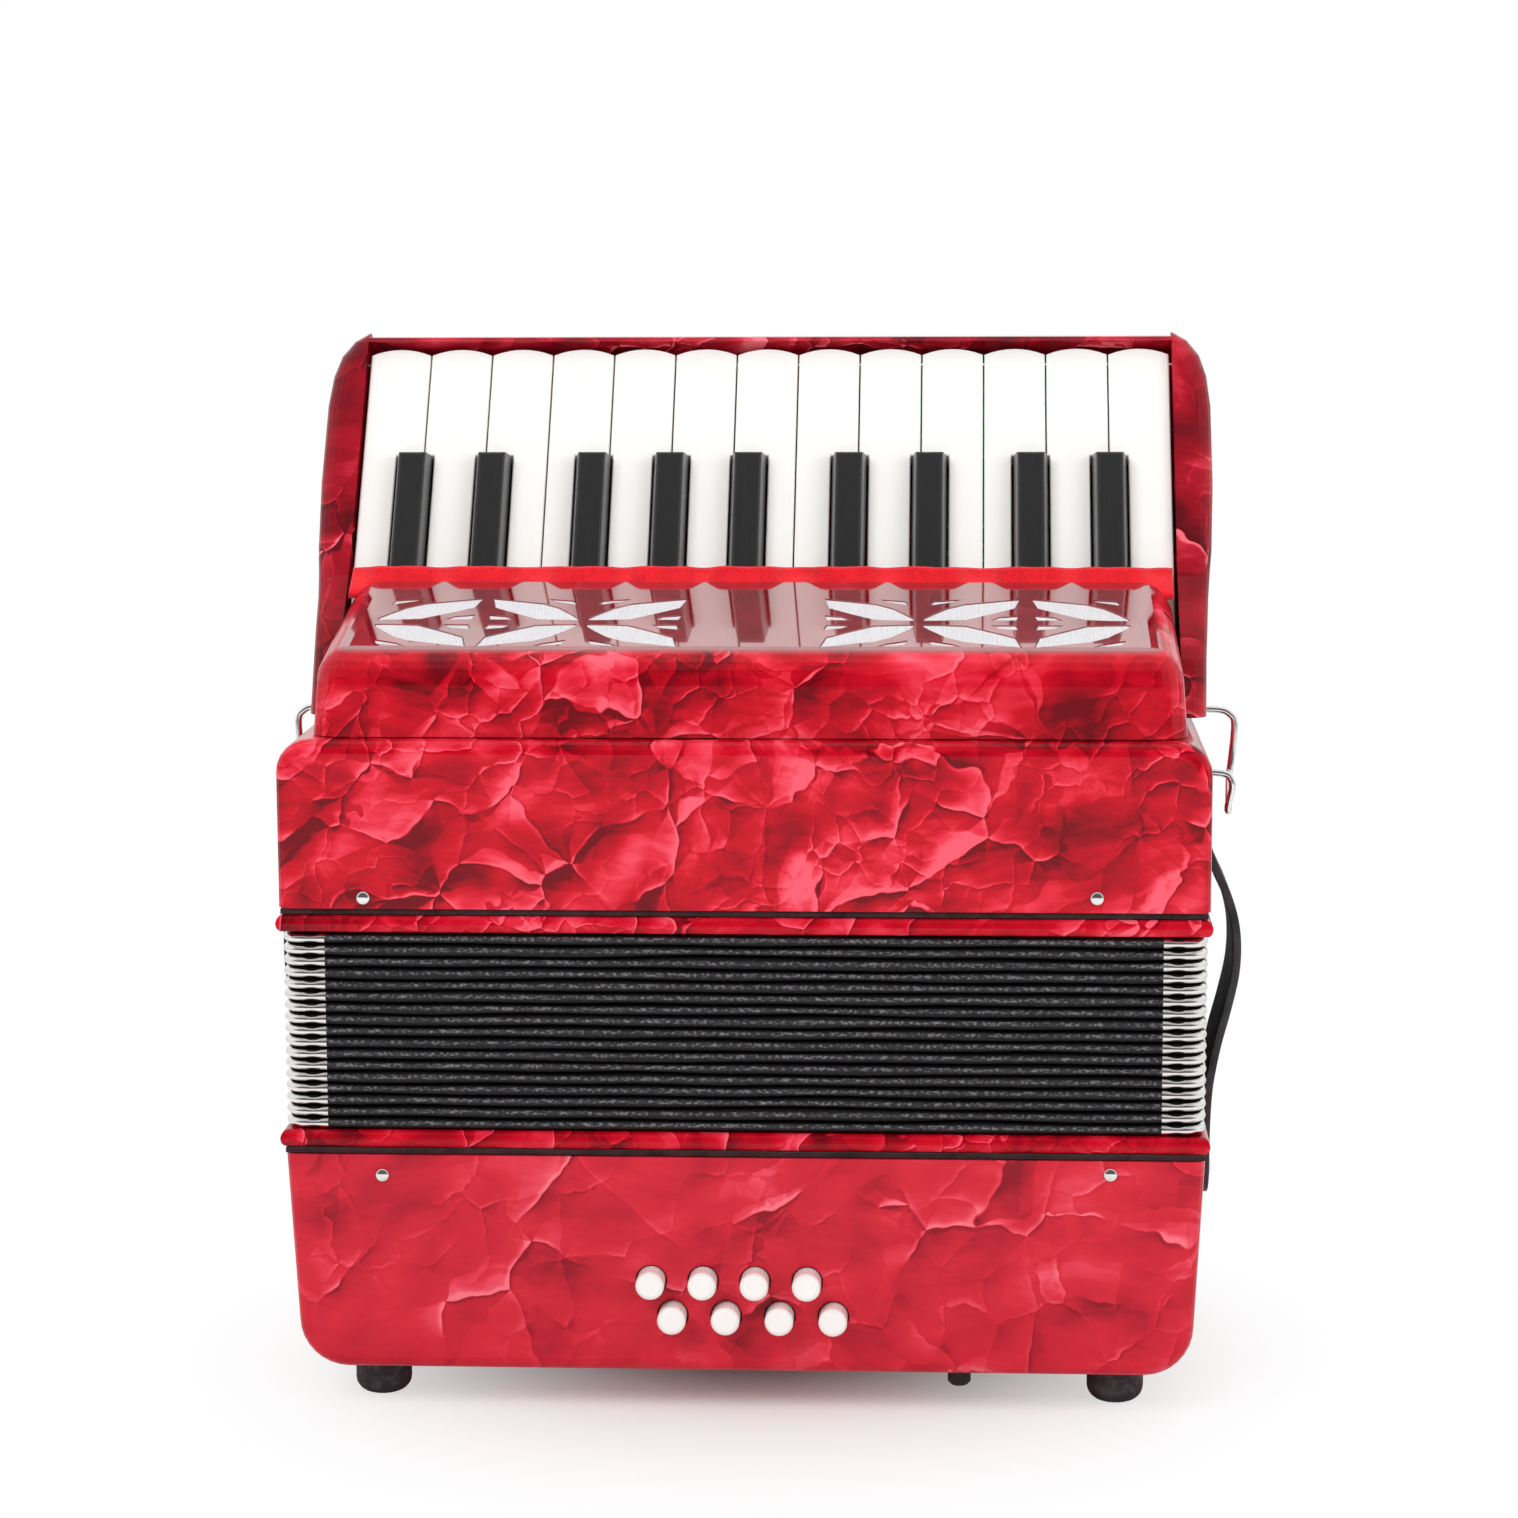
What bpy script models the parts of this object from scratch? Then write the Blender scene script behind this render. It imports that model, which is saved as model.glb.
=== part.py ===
import math

import bmesh
import bpy
from mathutils import Matrix, Vector

for old in list(bpy.data.objects):
    bpy.data.objects.remove(old, do_unlink=True)

# Driving dimensions in metres. X runs along the keyboard, -Y faces the audience, +Z points up.
MM = 0.001
FIT = 0.3 * MM
FRONT_Y = -71.5 * MM
DEPTH = 150 * MM
BACK_Y = FRONT_Y + DEPTH
WALL = 6 * MM

# Bass end
FOOT_R = 8.6 * MM
FOOT_H = 12.7 * MM
FOOT_X = 112.2 * MM
FOOT_INSET_Y = 21.4 * MM
FOOT_SOFT = 4.5 * MM
BASS_BOTTOM = FOOT_H + FIT
BASS_TOP = 79.6 * MM
BASS_SHY = 0.7 * MM
BASS_TAPER = 2.8 * MM
BASS_CORNER_R = 15 * MM
BASS_FLOOR = 5 * MM
EDGE_R = 4 * MM
BUTTON_R = 4.3 * MM
BUTTON_OUT = 7.5 * MM
BUTTON_IN = 4.5 * MM
BUTTONS_IN_ROW = 4
UPPER_ROW = (-27.6 * MM, 15.6 * MM, 41.7 * MM)
LOWER_ROW = (-21.2 * MM, 16.1 * MM, 31.0 * MM)
BUTTON_STEM_R = 1.9 * MM
BUTTON_SOFT = 1.3 * MM
BUTTON_CLEAR = 0.5 * MM
PALLET_R = 5.6 * MM
PALLET_T = 3 * MM
VALVE_HOLE_R = 4 * MM
VALVE_T = 4 * MM
CHEST_DEPTH = 20 * MM
CHEST_HALF = 46 * MM
CHEST_WALL = 4 * MM
CHEST_TOP = 58 * MM
CELL_DEPTH = 14 * MM
REED_DEPTH = 22 * MM
AIR_X = 64.8 * MM
AIR_IN_Y = 18 * MM
AIR_R = 3.5 * MM
AIR_LOW = 5 * MM
AIR_PALLET_R = 7.5 * MM
AIR_SOFT = 1 * MM
REED_SLOT_W = 2.4 * MM
REED_SLOT_H = 8 * MM

# Hand strap under the bass end
HAND_HALF = 82 * MM
HAND_W = 38 * MM
HAND_T = 2.6 * MM
HAND_SAG = 7.4 * MM
HAND_IN_Y = 80 * MM
ANCHOR_L = 14 * MM
ANCHOR_T = 1.6 * MM

# Bellows with its two frames and gaskets
GASKET_T = 1.5 * MM
FRAME_T = 5.2 * MM
FRAME_PROUD = 0.5 * MM
FRAME_W = 13 * MM
FRAME_BULGE = 2 * MM
BELLOWS_H = 59.8 * MM
FOLDS = 17
FOLD_DEPTH = 9 * MM
FOLD_WALL = 0.8 * MM
BELLOWS_SHY = 0.9 * MM
BELLOWS_INSET = 0.7 * MM

# Treble end
TREBLE_HALF = 138.3 * MM
TREBLE_H = 50.4 * MM
TREBLE_CORNER_R = 10 * MM
TREBLE_DECK = 6 * MM
DECK_SIDE = 10.7 * MM
DECK_FRONT = 14 * MM
DECK_BACK = 10 * MM
BOARD_T = 4 * MM
BOARD_DROP = 11 * MM
REED_H = 30 * MM
REED_W = 30 * MM
TONE_W = 5 * MM
TONE_L = 12 * MM

# Keyboard: the white key surface meets the felt line at KEY_Y, KEY_Z and leans back by LEAN
KEY_PITCH = 20 * MM
KEY_GAP = 0.5 * MM
WHITE_KEYS = 13
KEY_X = 1.4 * MM
RAIL_DEPTH = 11.07 * MM
KEY_Z = 246 * MM
LEAN = math.radians(35)
WHITE_LEN = 80.6 * MM
WHITE_ARC = 2.2 * MM
WHITE_T = 6 * MM
KEY_TAIL = 21 * MM
BLACK_H = 7 * MM
BLACK_BASE = 11.2 * MM
BLACK_TOP = 8.4 * MM
BLACK_LEN = 42 * MM
BLACK_SLOPE = 2.2 * MM
AXLE_D = -15.8 * MM
AXLE_OFF = -5.3 * MM
AXLE_R = 1.5 * MM
AXLE_CLEAR = 0.08 * MM
AXLE_BITE = 3 * MM
LEVER_W = 7 * MM
PALLET_L = 17 * MM
PALLET_IN_Y = 45 * MM
KEY_PALLET_T = 3.6 * MM
KEY_TRAVEL = 5.4 * MM
BED_T = 6 * MM
CHANNEL_CLEAR = 0.6 * MM
CHEEK_PROUD = 3 * MM
CHEEK_TOE = 9 * MM
CHEEK_FALL = 26 * MM
CHEEK_RISE = 7.776 * MM
RAIL_RISE = 5.576 * MM
RAIL_GAP = 1.2 * MM
CHEEK_R = 6 * MM
CHEEK_ROLL = 9 * MM
CHANNEL_OPEN = 40 * MM

# Grille cover, its cloth and the dust felt
COVER_IN_Y = 6 * MM
COVER_X = KEY_X
COVER_OVER = 10 * MM
COVER_DRAFT = 2 * MM
COVER_T = 2.6 * MM
COVER_FRONT_Z = 229.6 * MM
COVER_SLOPE = math.radians(11)
COVER_R = 9 * MM
COVER_BACK_OFF = 9.6 * MM
CLOTH_T = 0.8 * MM
FELT_T = 1.6 * MM
FELT_LOW = -12 * MM
FELT_HIGH = -4.2 * MM
FELT_DIP = 3.2 * MM
FELT_SIDE = 1.2 * MM
FELT_FALL = 3.2 * MM

# Wire brackets, bellows straps and their studs
WIRE_R = 1.1 * MM
STRAP_W = 30 * MM
STRAP_T = 2.6 * MM
STRAP_IN_Y = 75 * MM
STUD_R = 4.5 * MM
STUD_Z = 59.5 * MM
STRAP_STAND = 0.4 * MM
STRAP_SLACK = 10.2 * MM
LEFT_SLACK = 6.2 * MM
WIRE_STAND = 0.5 * MM

# Levels that follow from the sizes above
BASS_GASKET_Z = BASS_TOP + FIT
BASS_FRAME_Z = BASS_GASKET_Z + GASKET_T + FIT
BELLOWS_Z = BASS_FRAME_Z + FRAME_T + FIT
TREBLE_FRAME_Z = BELLOWS_Z + BELLOWS_H + FIT
TREBLE_GASKET_Z = TREBLE_FRAME_Z + FRAME_T + FIT
TREBLE_Z = TREBLE_GASKET_Z + GASKET_T + FIT
TREBLE_TOP = TREBLE_Z + TREBLE_H
BASS_HALF_TOP = TREBLE_HALF - BASS_SHY
BASS_HALF_LOW = BASS_HALF_TOP - BASS_TAPER
BELLOWS_HALF = TREBLE_HALF - BELLOWS_SHY
DECK_HALF = TREBLE_HALF - DECK_SIDE
BOARD_TOP = TREBLE_TOP - BOARD_DROP
BOARD_Z = BOARD_TOP - BOARD_T
CHEST_Y = FRONT_Y + WALL + FIT
VALVE_Y = CHEST_Y + CHEST_DEPTH
KEY_Y = BACK_Y - RAIL_DEPTH - WHITE_LEN * math.sin(LEAN)
KEY_END_Z = KEY_Z + WHITE_LEN * math.cos(LEAN)
RAIL_TOP = KEY_END_Z + RAIL_RISE
CHEEK_TOP = KEY_END_Z + CHEEK_RISE
KEY_DIR = Vector((0, math.sin(LEAN), math.cos(LEAN)))
KEY_UP = Vector((0, -math.cos(LEAN), math.sin(LEAN)))
KEYS_HALF = WHITE_KEYS * KEY_PITCH / 2
COVER_HALF = KEYS_HALF
COVER_BACK_Y = KEY_Y + COVER_OVER
PAIR_SHIFT = 2.8 * MM
TRIO_SHIFT = 5 * MM
BLACK_PLACES = ((1, -PAIR_SHIFT), (2, PAIR_SHIFT), (4, -TRIO_SHIFT), (5, 0.0), (6, TRIO_SHIFT),
                (8, -PAIR_SHIFT), (9, PAIR_SHIFT), (11, -TRIO_SHIFT), (12, 0.0))
BLACK_X = [KEY_X + (i - WHITE_KEYS / 2) * KEY_PITCH + shift for i, shift in BLACK_PLACES]


def material(name, colour, rough, metal=0.0):
    mat = bpy.data.materials.new(name)
    mat.use_nodes = True
    shader = mat.node_tree.nodes["Principled BSDF"]
    shader.inputs["Base Color"].default_value = (*colour, 1)
    shader.inputs["Roughness"].default_value = rough
    shader.inputs["Metallic"].default_value = metal
    return mat


RED = (0.52, 0.01, 0.03)
STEEL = (0.75, 0.75, 0.76)
LEATHER = (0.03, 0.03, 0.035)
WOOD = (0.62, 0.46, 0.28)


def put(name, bm, finish, smooth=True, helper=False):
    bmesh.ops.remove_doubles(bm, verts=bm.verts, dist=1e-7)
    bmesh.ops.recalc_face_normals(bm, faces=bm.faces)
    mesh = bpy.data.meshes.new(name)
    bm.to_mesh(mesh)
    bm.free()
    obj = bpy.data.objects.new(name, mesh)
    bpy.context.scene.collection.objects.link(obj)
    if helper:
        obj.hide_render = True
        obj.display_type = "WIRE"
        return obj
    mesh.materials.append(material(name, *finish))
    if smooth:
        mesh.shade_smooth()
        mesh.set_sharp_from_angle(angle=math.radians(40))
    return obj


def prism(bm, points, offset):
    """Extrudes a closed polygon of 3-D points by a vector into a solid."""
    face = bm.faces.new([bm.verts.new(p) for p in points])
    made = bmesh.ops.extrude_face_region(bm, geom=[face])["geom"]
    moved = [v for v in made if isinstance(v, bmesh.types.BMVert)]
    bmesh.ops.translate(bm, verts=moved, vec=offset)
    return moved


def box(bm, x0, x1, y0, y1, z0, z1):
    corners = [(x0, y0, z0), (x1, y0, z0), (x1, y1, z0), (x0, y1, z0)]
    prism(bm, corners, (0, 0, z1 - z0))


def rod(bm, a, b, radius, segments=24):
    a = Vector(a)
    b = Vector(b)
    turn = (b - a).to_track_quat("Z", "Y").to_matrix().to_4x4()
    place = Matrix.Translation((a + b) / 2) @ turn
    bmesh.ops.create_cone(bm, cap_ends=True, segments=segments, radius1=radius, radius2=radius,
                          depth=(b - a).length, matrix=place)


def lathe(bm, profile, origin, axis, segments=32):
    """Turns (radius, height) points about an axis through origin into a solid."""
    turn = Vector(axis).to_track_quat("Z", "Y").to_matrix().to_4x4()
    place = Matrix.Translation(origin) @ turn
    verts = [bm.verts.new(place @ Vector((r, 0, h))) for r, h in profile]
    edges = [bm.edges.new(pair) for pair in zip(verts, verts[1:])]
    bmesh.ops.spin(bm, geom=verts + edges, cent=place.translation, axis=place.to_3x3() @ Vector((0, 0, 1)),
                   steps=segments, angle=math.tau, use_merge=True)


def boolean(obj, helper, operation="DIFFERENCE"):
    mod = obj.modifiers.new(operation.title(), "BOOLEAN")
    mod.operation = operation
    mod.solver = "EXACT"
    mod.object = helper
    return mod


def cutter(name, bm):
    return put(name + "_cutter", bm, None, helper=True)


def arc(cx, cz, radius, start, end, steps):
    span = math.radians(end - start)
    first = math.radians(start)
    angles = [first + span * i / steps for i in range(steps + 1)]
    return [(cx + radius * math.cos(a), cz + radius * math.sin(a)) for a in angles]


def ring_solid(bm, half, y0, y1, z0, z1, width, bulge=0.0):
    """A rectangular picture-frame solid, with its outer face rounded by bulge."""
    section = [(0, z1), (-width, z1), (-width, z0), (0, z0)]
    if bulge:
        mid = (z0 + z1) / 2
        high = (z1 - z0) / 2
        section = [(-width, z1), (-width, z0)]
        section += [(-bulge + bulge * math.cos(a), mid + high * math.sin(a))
                    for a in [math.pi * (i / 10 - 0.5) for i in range(11)]]
    loops = []
    for inset, z in section:
        corners = [(half + inset, y0 - inset), (half + inset, y1 + inset),
                   (-half - inset, y1 + inset), (-half - inset, y0 - inset)]
        loops.append([bm.verts.new((x, y, z)) for x, y in corners])
    count = len(loops)
    for i in range(count):
        a = loops[i]
        b = loops[(i + 1) % count]
        for j in range(4):
            bm.faces.new((a[j], a[(j + 1) % 4], b[(j + 1) % 4], b[j]))


# Bass case: a tapering box, open towards the bellows
bm = bmesh.new()
slope = (BASS_HALF_TOP - BASS_HALF_LOW) / (BASS_TOP - BASS_BOTTOM)
cx = BASS_HALF_LOW - BASS_CORNER_R
outline = [(BASS_HALF_TOP, BASS_TOP)]
outline += [(x, z) for x, z in reversed(arc(cx, BASS_BOTTOM + BASS_CORNER_R, BASS_CORNER_R, -90, 0, 8))]
outline += [(-x, z) for x, z in reversed(outline)]
prism(bm, [(x, FRONT_Y, z) for x, z in outline], (0, DEPTH, 0))
lower = [e for e in bm.edges if all(v.co.z < BASS_TOP - 1e-6 for v in e.verts)
         or abs(e.verts[0].co.z - e.verts[1].co.z) > BASS_CORNER_R]
rims = [e for e in lower if abs(e.verts[0].co.y - e.verts[1].co.y) < 1e-6]
bmesh.ops.bevel(bm, geom=rims, offset=EDGE_R, offset_type="OFFSET", segments=4, profile=0.5,
                affect="EDGES", material=-1, clamp_overlap=True)
bass_case = put("bass_case", bm, (RED, 0.25))

bm = bmesh.new()
box(bm, -BASS_HALF_LOW + WALL, BASS_HALF_LOW - WALL, FRONT_Y + WALL, BACK_Y - WALL,
    BASS_BOTTOM + BASS_FLOOR, BASS_TOP + WALL)
upright = [e for e in bm.edges if abs(e.verts[0].co.y - e.verts[1].co.y) > DEPTH / 2
           and e.verts[0].co.z < BASS_TOP]
bmesh.ops.bevel(bm, geom=upright, offset=BASS_CORNER_R - WALL, offset_type="OFFSET", segments=4, profile=0.5,
                affect="EDGES", material=-1, clamp_overlap=True)
boolean(bass_case, cutter("bass_room", bm))

BUTTONS = []
for first_x, row_pitch, row_z in (UPPER_ROW, LOWER_ROW):
    for i in range(BUTTONS_IN_ROW):
        BUTTONS.append((first_x + i * row_pitch, row_z))

bm = bmesh.new()
for x, z in BUTTONS:
    rod(bm, (x, FRONT_Y - WALL, z), (x, FRONT_Y + 2 * WALL, z), BUTTON_R + BUTTON_CLEAR)
air_y = FRONT_Y + AIR_IN_Y
rod(bm, (AIR_X, air_y, BASS_BOTTOM - WALL), (AIR_X, air_y, BASS_BOTTOM + 2 * WALL), AIR_R + BUTTON_CLEAR)
boolean(bass_case, cutter("bass_bores", bm))

# Valve chest behind the buttons and the reed block behind it
bm = bmesh.new()
chest_low = BASS_BOTTOM + BASS_FLOOR + FIT
box(bm, -CHEST_HALF, CHEST_HALF, CHEST_Y, VALVE_Y + VALVE_T, chest_low, CHEST_TOP)
chest = put("bass_valve_chest", bm, (WOOD, 0.6))
bm = bmesh.new()
box(bm, -CHEST_HALF + CHEST_WALL, CHEST_HALF - CHEST_WALL, CHEST_Y - WALL, VALVE_Y,
    chest_low + CHEST_WALL, CHEST_TOP - CHEST_WALL)
boolean(chest, cutter("chest_room", bm))
bm = bmesh.new()
for x, z in BUTTONS:
    rod(bm, (x, VALVE_Y - WALL, z), (x, VALVE_Y + 2 * VALVE_T, z), VALVE_HOLE_R)
boolean(chest, cutter("chest_bores", bm))

reed_y = VALVE_Y + VALVE_T + FIT
bm = bmesh.new()
box(bm, -CHEST_HALF, CHEST_HALF, reed_y, reed_y + REED_DEPTH, chest_low + CHEST_WALL, CHEST_TOP - CHEST_WALL)
bass_reeds = put("bass_reed_block", bm, (WOOD, 0.65))
bm = bmesh.new()
for x, z in BUTTONS:
    rod(bm, (x, reed_y - WALL, z), (x, reed_y + CELL_DEPTH, z), PALLET_R + 2 * FIT)
boolean(bass_reeds, cutter("reed_cells", bm))
bm = bmesh.new()
for x, z in BUTTONS:
    box(bm, x - REED_SLOT_W / 2, x + REED_SLOT_W / 2, reed_y + CELL_DEPTH - WALL, reed_y + REED_DEPTH + WALL,
        z - REED_SLOT_H / 2, z + REED_SLOT_H / 2)
boolean(bass_reeds, cutter("reed_slots", bm))

# Eight bass buttons, each with its stem and valve pallet
for number, (x, z) in enumerate(BUTTONS, 1):
    bm = bmesh.new()
    seat = reed_y + FIT - FRONT_Y
    soft = BUTTON_SOFT
    profile = [(0, -BUTTON_OUT), (BUTTON_R - soft, -BUTTON_OUT),
               (BUTTON_R - 0.35 * soft, -BUTTON_OUT + 0.35 * soft), (BUTTON_R, -BUTTON_OUT + soft),
               (BUTTON_R, BUTTON_IN), (BUTTON_STEM_R, BUTTON_IN),
               (BUTTON_STEM_R, seat), (PALLET_R, seat), (PALLET_R, seat + PALLET_T), (0, seat + PALLET_T)]
    lathe(bm, profile, (0, 0, 0), (0, 1, 0), 20)
    button = put(f"bass_button_{number}", bm, ((0.85, 0.85, 0.83), 0.3))
    button.location = (x, FRONT_Y, z)

# Air button under the bass end
bm = bmesh.new()
low = AIR_LOW - BASS_BOTTOM
shelf = BASS_FLOOR + FIT
profile = [(0, low), (AIR_R - AIR_SOFT, low), (AIR_R, low + AIR_SOFT), (AIR_R, shelf), (AIR_PALLET_R, shelf),
           (AIR_PALLET_R, shelf + PALLET_T), (0, shelf + PALLET_T)]
lathe(bm, profile, (0, 0, 0), (0, 0, 1), 24)
air = put("air_button", bm, ((0.03, 0.03, 0.03), 0.4))
air.location = (AIR_X, air_y, BASS_BOTTOM)

# Four rubber feet
for number, (sx, y) in enumerate(((-1, FRONT_Y + FOOT_INSET_Y), (1, FRONT_Y + FOOT_INSET_Y),
                                  (-1, BACK_Y - FOOT_INSET_Y), (1, BACK_Y - FOOT_INSET_Y)), 1):
    bm = bmesh.new()
    profile = [(0, 0)] + arc(FOOT_R - FOOT_SOFT, FOOT_SOFT, FOOT_SOFT, -90, 0, 6)
    profile += [(FOOT_R, FOOT_H), (0, FOOT_H)]
    lathe(bm, profile, (0, 0, 0), (0, 0, 1), 24)
    foot = put(f"foot_{number}", bm, ((0.06, 0.055, 0.06), 0.7))
    foot.location = (sx * FOOT_X, y, 0)


def band(bm, path, half_width, thickness, centre_y):
    """A flat leather band of the given thickness that follows a path of (x, z) points."""
    left = []
    for i, (x, z) in enumerate(path):
        x0, z0 = path[max(i - 1, 0)]
        x1, z1 = path[min(i + 1, len(path) - 1)]
        span = math.hypot(x1 - x0, z1 - z0)
        left.append((x - (z1 - z0) / span * thickness, z + (x1 - x0) / span * thickness))
    outline = list(path) + left[::-1]
    count = len(outline)
    near = [bm.verts.new((x, centre_y - half_width, z)) for x, z in outline]
    far = [bm.verts.new((x, centre_y + half_width, z)) for x, z in outline]
    for i in range(count):
        j = (i + 1) % count
        bm.faces.new((near[i], near[j], far[j], far[i]))
    steps = len(path)
    for i in range(steps - 1):
        for side in (near, far):
            bm.faces.new((side[i], side[i + 1], side[count - 2 - i], side[count - 1 - i]))


# Hand strap with the two plates that hold its ends under the bass end
hand_y = FRONT_Y + HAND_IN_Y
path = []
flat = ANCHOR_L + 3 * MM
for i in range(29):
    x = -HAND_HALF + 2 * HAND_HALF * i / 28
    t = min(max((HAND_HALF - abs(x) - flat) / (HAND_HALF - flat), 0), 1)
    path.append((x, BASS_BOTTOM - FIT - HAND_T - HAND_SAG * math.sin(t * math.pi / 2) ** 2))
bm = bmesh.new()
band(bm, path, HAND_W / 2, HAND_T, hand_y)
put("hand_strap", bm, (LEATHER, 0.55))
for number, side in enumerate((-1, 1), 1):
    bm = bmesh.new()
    outer = side * HAND_HALF
    inner = side * (HAND_HALF - ANCHOR_L)
    top = BASS_BOTTOM - 2 * FIT - HAND_T
    box(bm, min(outer, inner), max(outer, inner), hand_y - HAND_W / 2, hand_y + HAND_W / 2,
        top - ANCHOR_T, top)
    put(f"hand_strap_plate_{number}", bm, (STEEL, 0.25, 1.0))

# Gaskets and bellows frames
for name, z in (("bass_gasket", BASS_GASKET_Z), ("treble_gasket", TREBLE_GASKET_Z)):
    bm = bmesh.new()
    inset = BELLOWS_INSET
    ring_solid(bm, BELLOWS_HALF, FRONT_Y + inset, BACK_Y - inset, z, z + GASKET_T, FRAME_W - inset)
    put(name, bm, ((0.05, 0.03, 0.03), 0.9), smooth=False)
for name, z in (("bass_bellows_frame", BASS_FRAME_Z), ("treble_bellows_frame", TREBLE_FRAME_Z)):
    bm = bmesh.new()
    proud = FRAME_PROUD
    ring_solid(bm, TREBLE_HALF + proud, FRONT_Y - proud, BACK_Y + proud, z, z + FRAME_T, FRAME_W + proud,
               FRAME_BULGE)
    put(name, bm, (RED, 0.3))

# Bellows: one pleated wall, hollow inside and open at both ends
bm = bmesh.new()
pitch = BELLOWS_H / FOLDS
inner = []
outer = []
for i in range(FOLDS):
    z = BELLOWS_Z + i * pitch
    for part, deep in ((0.0, 1.0), (0.34, 0.0), (0.66, 0.0)):
        outer.append((-FOLD_DEPTH * deep, z + part * pitch))
outer.append((-FOLD_DEPTH, BELLOWS_Z + BELLOWS_H))
for inset, z in outer:
    inner.append((inset - 3 * FOLD_WALL if inset < -FOLD_DEPTH / 2 else inset - 2 * FOLD_WALL, z))
loops = []
corner_cut = 3 * MM
for inset, z in outer + inner[::-1]:
    hx = BELLOWS_HALF + inset
    y0 = FRONT_Y + BELLOWS_INSET - inset
    y1 = BACK_Y - BELLOWS_INSET + inset
    c = corner_cut
    ring = [(hx - c, y0), (hx - 0.3 * c, y0 + 0.3 * c), (hx, y0 + c),
            (hx, y1 - c), (hx - 0.3 * c, y1 - 0.3 * c), (hx - c, y1)]
    ring += [(-x, y) for x, y in reversed(ring)]
    loops.append([bm.verts.new((x, y, z)) for x, y in ring])
for i in range(len(loops)):
    a = loops[i]
    b = loops[(i + 1) % len(loops)]
    for j in range(len(a)):
        k = (j + 1) % len(a)
        bm.faces.new((a[j], a[k], b[k], b[j]))
put("bellows", bm, (LEATHER, 0.6))

# Treble case: four walls and a top deck with one long opening
bm = bmesh.new()
outline = [(TREBLE_HALF, TREBLE_Z)]
outline += arc(TREBLE_HALF - TREBLE_CORNER_R, TREBLE_TOP - TREBLE_CORNER_R, TREBLE_CORNER_R, 0, 90, 6)
outline += [(-x, z) for x, z in reversed(outline)]
prism(bm, [(x, FRONT_Y, z) for x, z in outline], (0, DEPTH, 0))
rims = [e for e in bm.edges if abs(e.verts[0].co.y - e.verts[1].co.y) < 1e-6
        and max(e.verts[0].co.z, e.verts[1].co.z) > TREBLE_Z + 1e-6]
bmesh.ops.bevel(bm, geom=rims, offset=EDGE_R, offset_type="OFFSET", segments=4, profile=0.5,
                affect="EDGES", material=-1, clamp_overlap=True)
treble_case = put("treble_case", bm, (RED, 0.25))
bm = bmesh.new()
box(bm, -TREBLE_HALF + WALL, TREBLE_HALF - WALL, FRONT_Y + WALL, BACK_Y - WALL,
    TREBLE_Z - WALL, TREBLE_TOP - TREBLE_DECK)
boolean(treble_case, cutter("treble_room", bm))
bm = bmesh.new()
box(bm, -DECK_HALF, DECK_HALF, FRONT_Y + DECK_FRONT, BACK_Y - DECK_BACK,
    TREBLE_TOP - 2 * TREBLE_DECK, TREBLE_TOP + TREBLE_DECK)
boolean(treble_case, cutter("treble_deck", bm))

# Key plan: the tails of the 22 keys side by side, as (x0, x1) for white keys
half_black = BLACK_BASE / 2 + KEY_GAP
WHITES = []
for i in range(WHITE_KEYS):
    x0 = KEY_X + (i - WHITE_KEYS / 2) * KEY_PITCH + KEY_GAP / 2
    x1 = x0 + KEY_PITCH - KEY_GAP
    t0 = x0
    t1 = x1
    for bx in BLACK_X:
        if bx - half_black < x0 + 1e-6 < bx + half_black or x0 - KEY_PITCH / 2 < bx < x0 + KEY_PITCH / 2:
            t0 = max(t0, bx + half_black)
        if x1 - KEY_PITCH / 2 < bx < x1 + KEY_PITCH / 2:
            t1 = min(t1, bx - half_black)
    WHITES.append((x0, x1, t0, t1))
reach = COVER_HALF - COVER_T - LEVER_W / 2 - 1.5 * MM
WHITE_LEVERS = [min(max((t0 + t1) / 2, COVER_X - reach), COVER_X + reach) for x0, x1, t0, t1 in WHITES]
TAILS = WHITE_LEVERS + BLACK_X

# Treble soundboard with one tone hole per key, and the reed block under it
pallet_y = FRONT_Y + PALLET_IN_Y
bm = bmesh.new()
inner_wall = WALL + FIT
box(bm, -TREBLE_HALF + inner_wall, TREBLE_HALF - inner_wall, FRONT_Y + inner_wall, BACK_Y - inner_wall,
    BOARD_Z, BOARD_TOP)
board = put("treble_soundboard", bm, (WOOD, 0.6), smooth=False)
bm = bmesh.new()
for x in TAILS:
    box(bm, x - TONE_W / 2, x + TONE_W / 2, pallet_y - TONE_L / 2, pallet_y + TONE_L / 2,
        BOARD_Z - BOARD_T, BOARD_TOP + BOARD_T)
boolean(board, cutter("tone_holes", bm))
bm = bmesh.new()
reed_top = BOARD_Z - FIT
box(bm, -KEYS_HALF + KEY_X, KEYS_HALF + KEY_X, pallet_y - REED_W / 2, pallet_y + REED_W / 2,
    reed_top - REED_H, reed_top)
treble_reeds = put("treble_reed_block", bm, (WOOD, 0.65), smooth=False)
bm = bmesh.new()
for x in TAILS:
    box(bm, x - TONE_W / 2, x + TONE_W / 2, pallet_y - TONE_L / 2, pallet_y + TONE_L / 2,
        reed_top - REED_H + WALL, reed_top + WALL)
boolean(treble_reeds, cutter("treble_cells", bm))
bm = bmesh.new()
for x in TAILS:
    box(bm, x - REED_SLOT_W / 2, x + REED_SLOT_W / 2, pallet_y - REED_W, pallet_y,
        reed_top - REED_H + 1.5 * WALL, reed_top - WALL)
boolean(treble_reeds, cutter("treble_slots", bm))


def on_keys(x, along, up):
    """A point on the keyboard: along runs up the keys from the felt line, up stands off the white surface."""
    return Vector((x, KEY_Y, KEY_Z)) + KEY_DIR * along + KEY_UP * up


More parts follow.
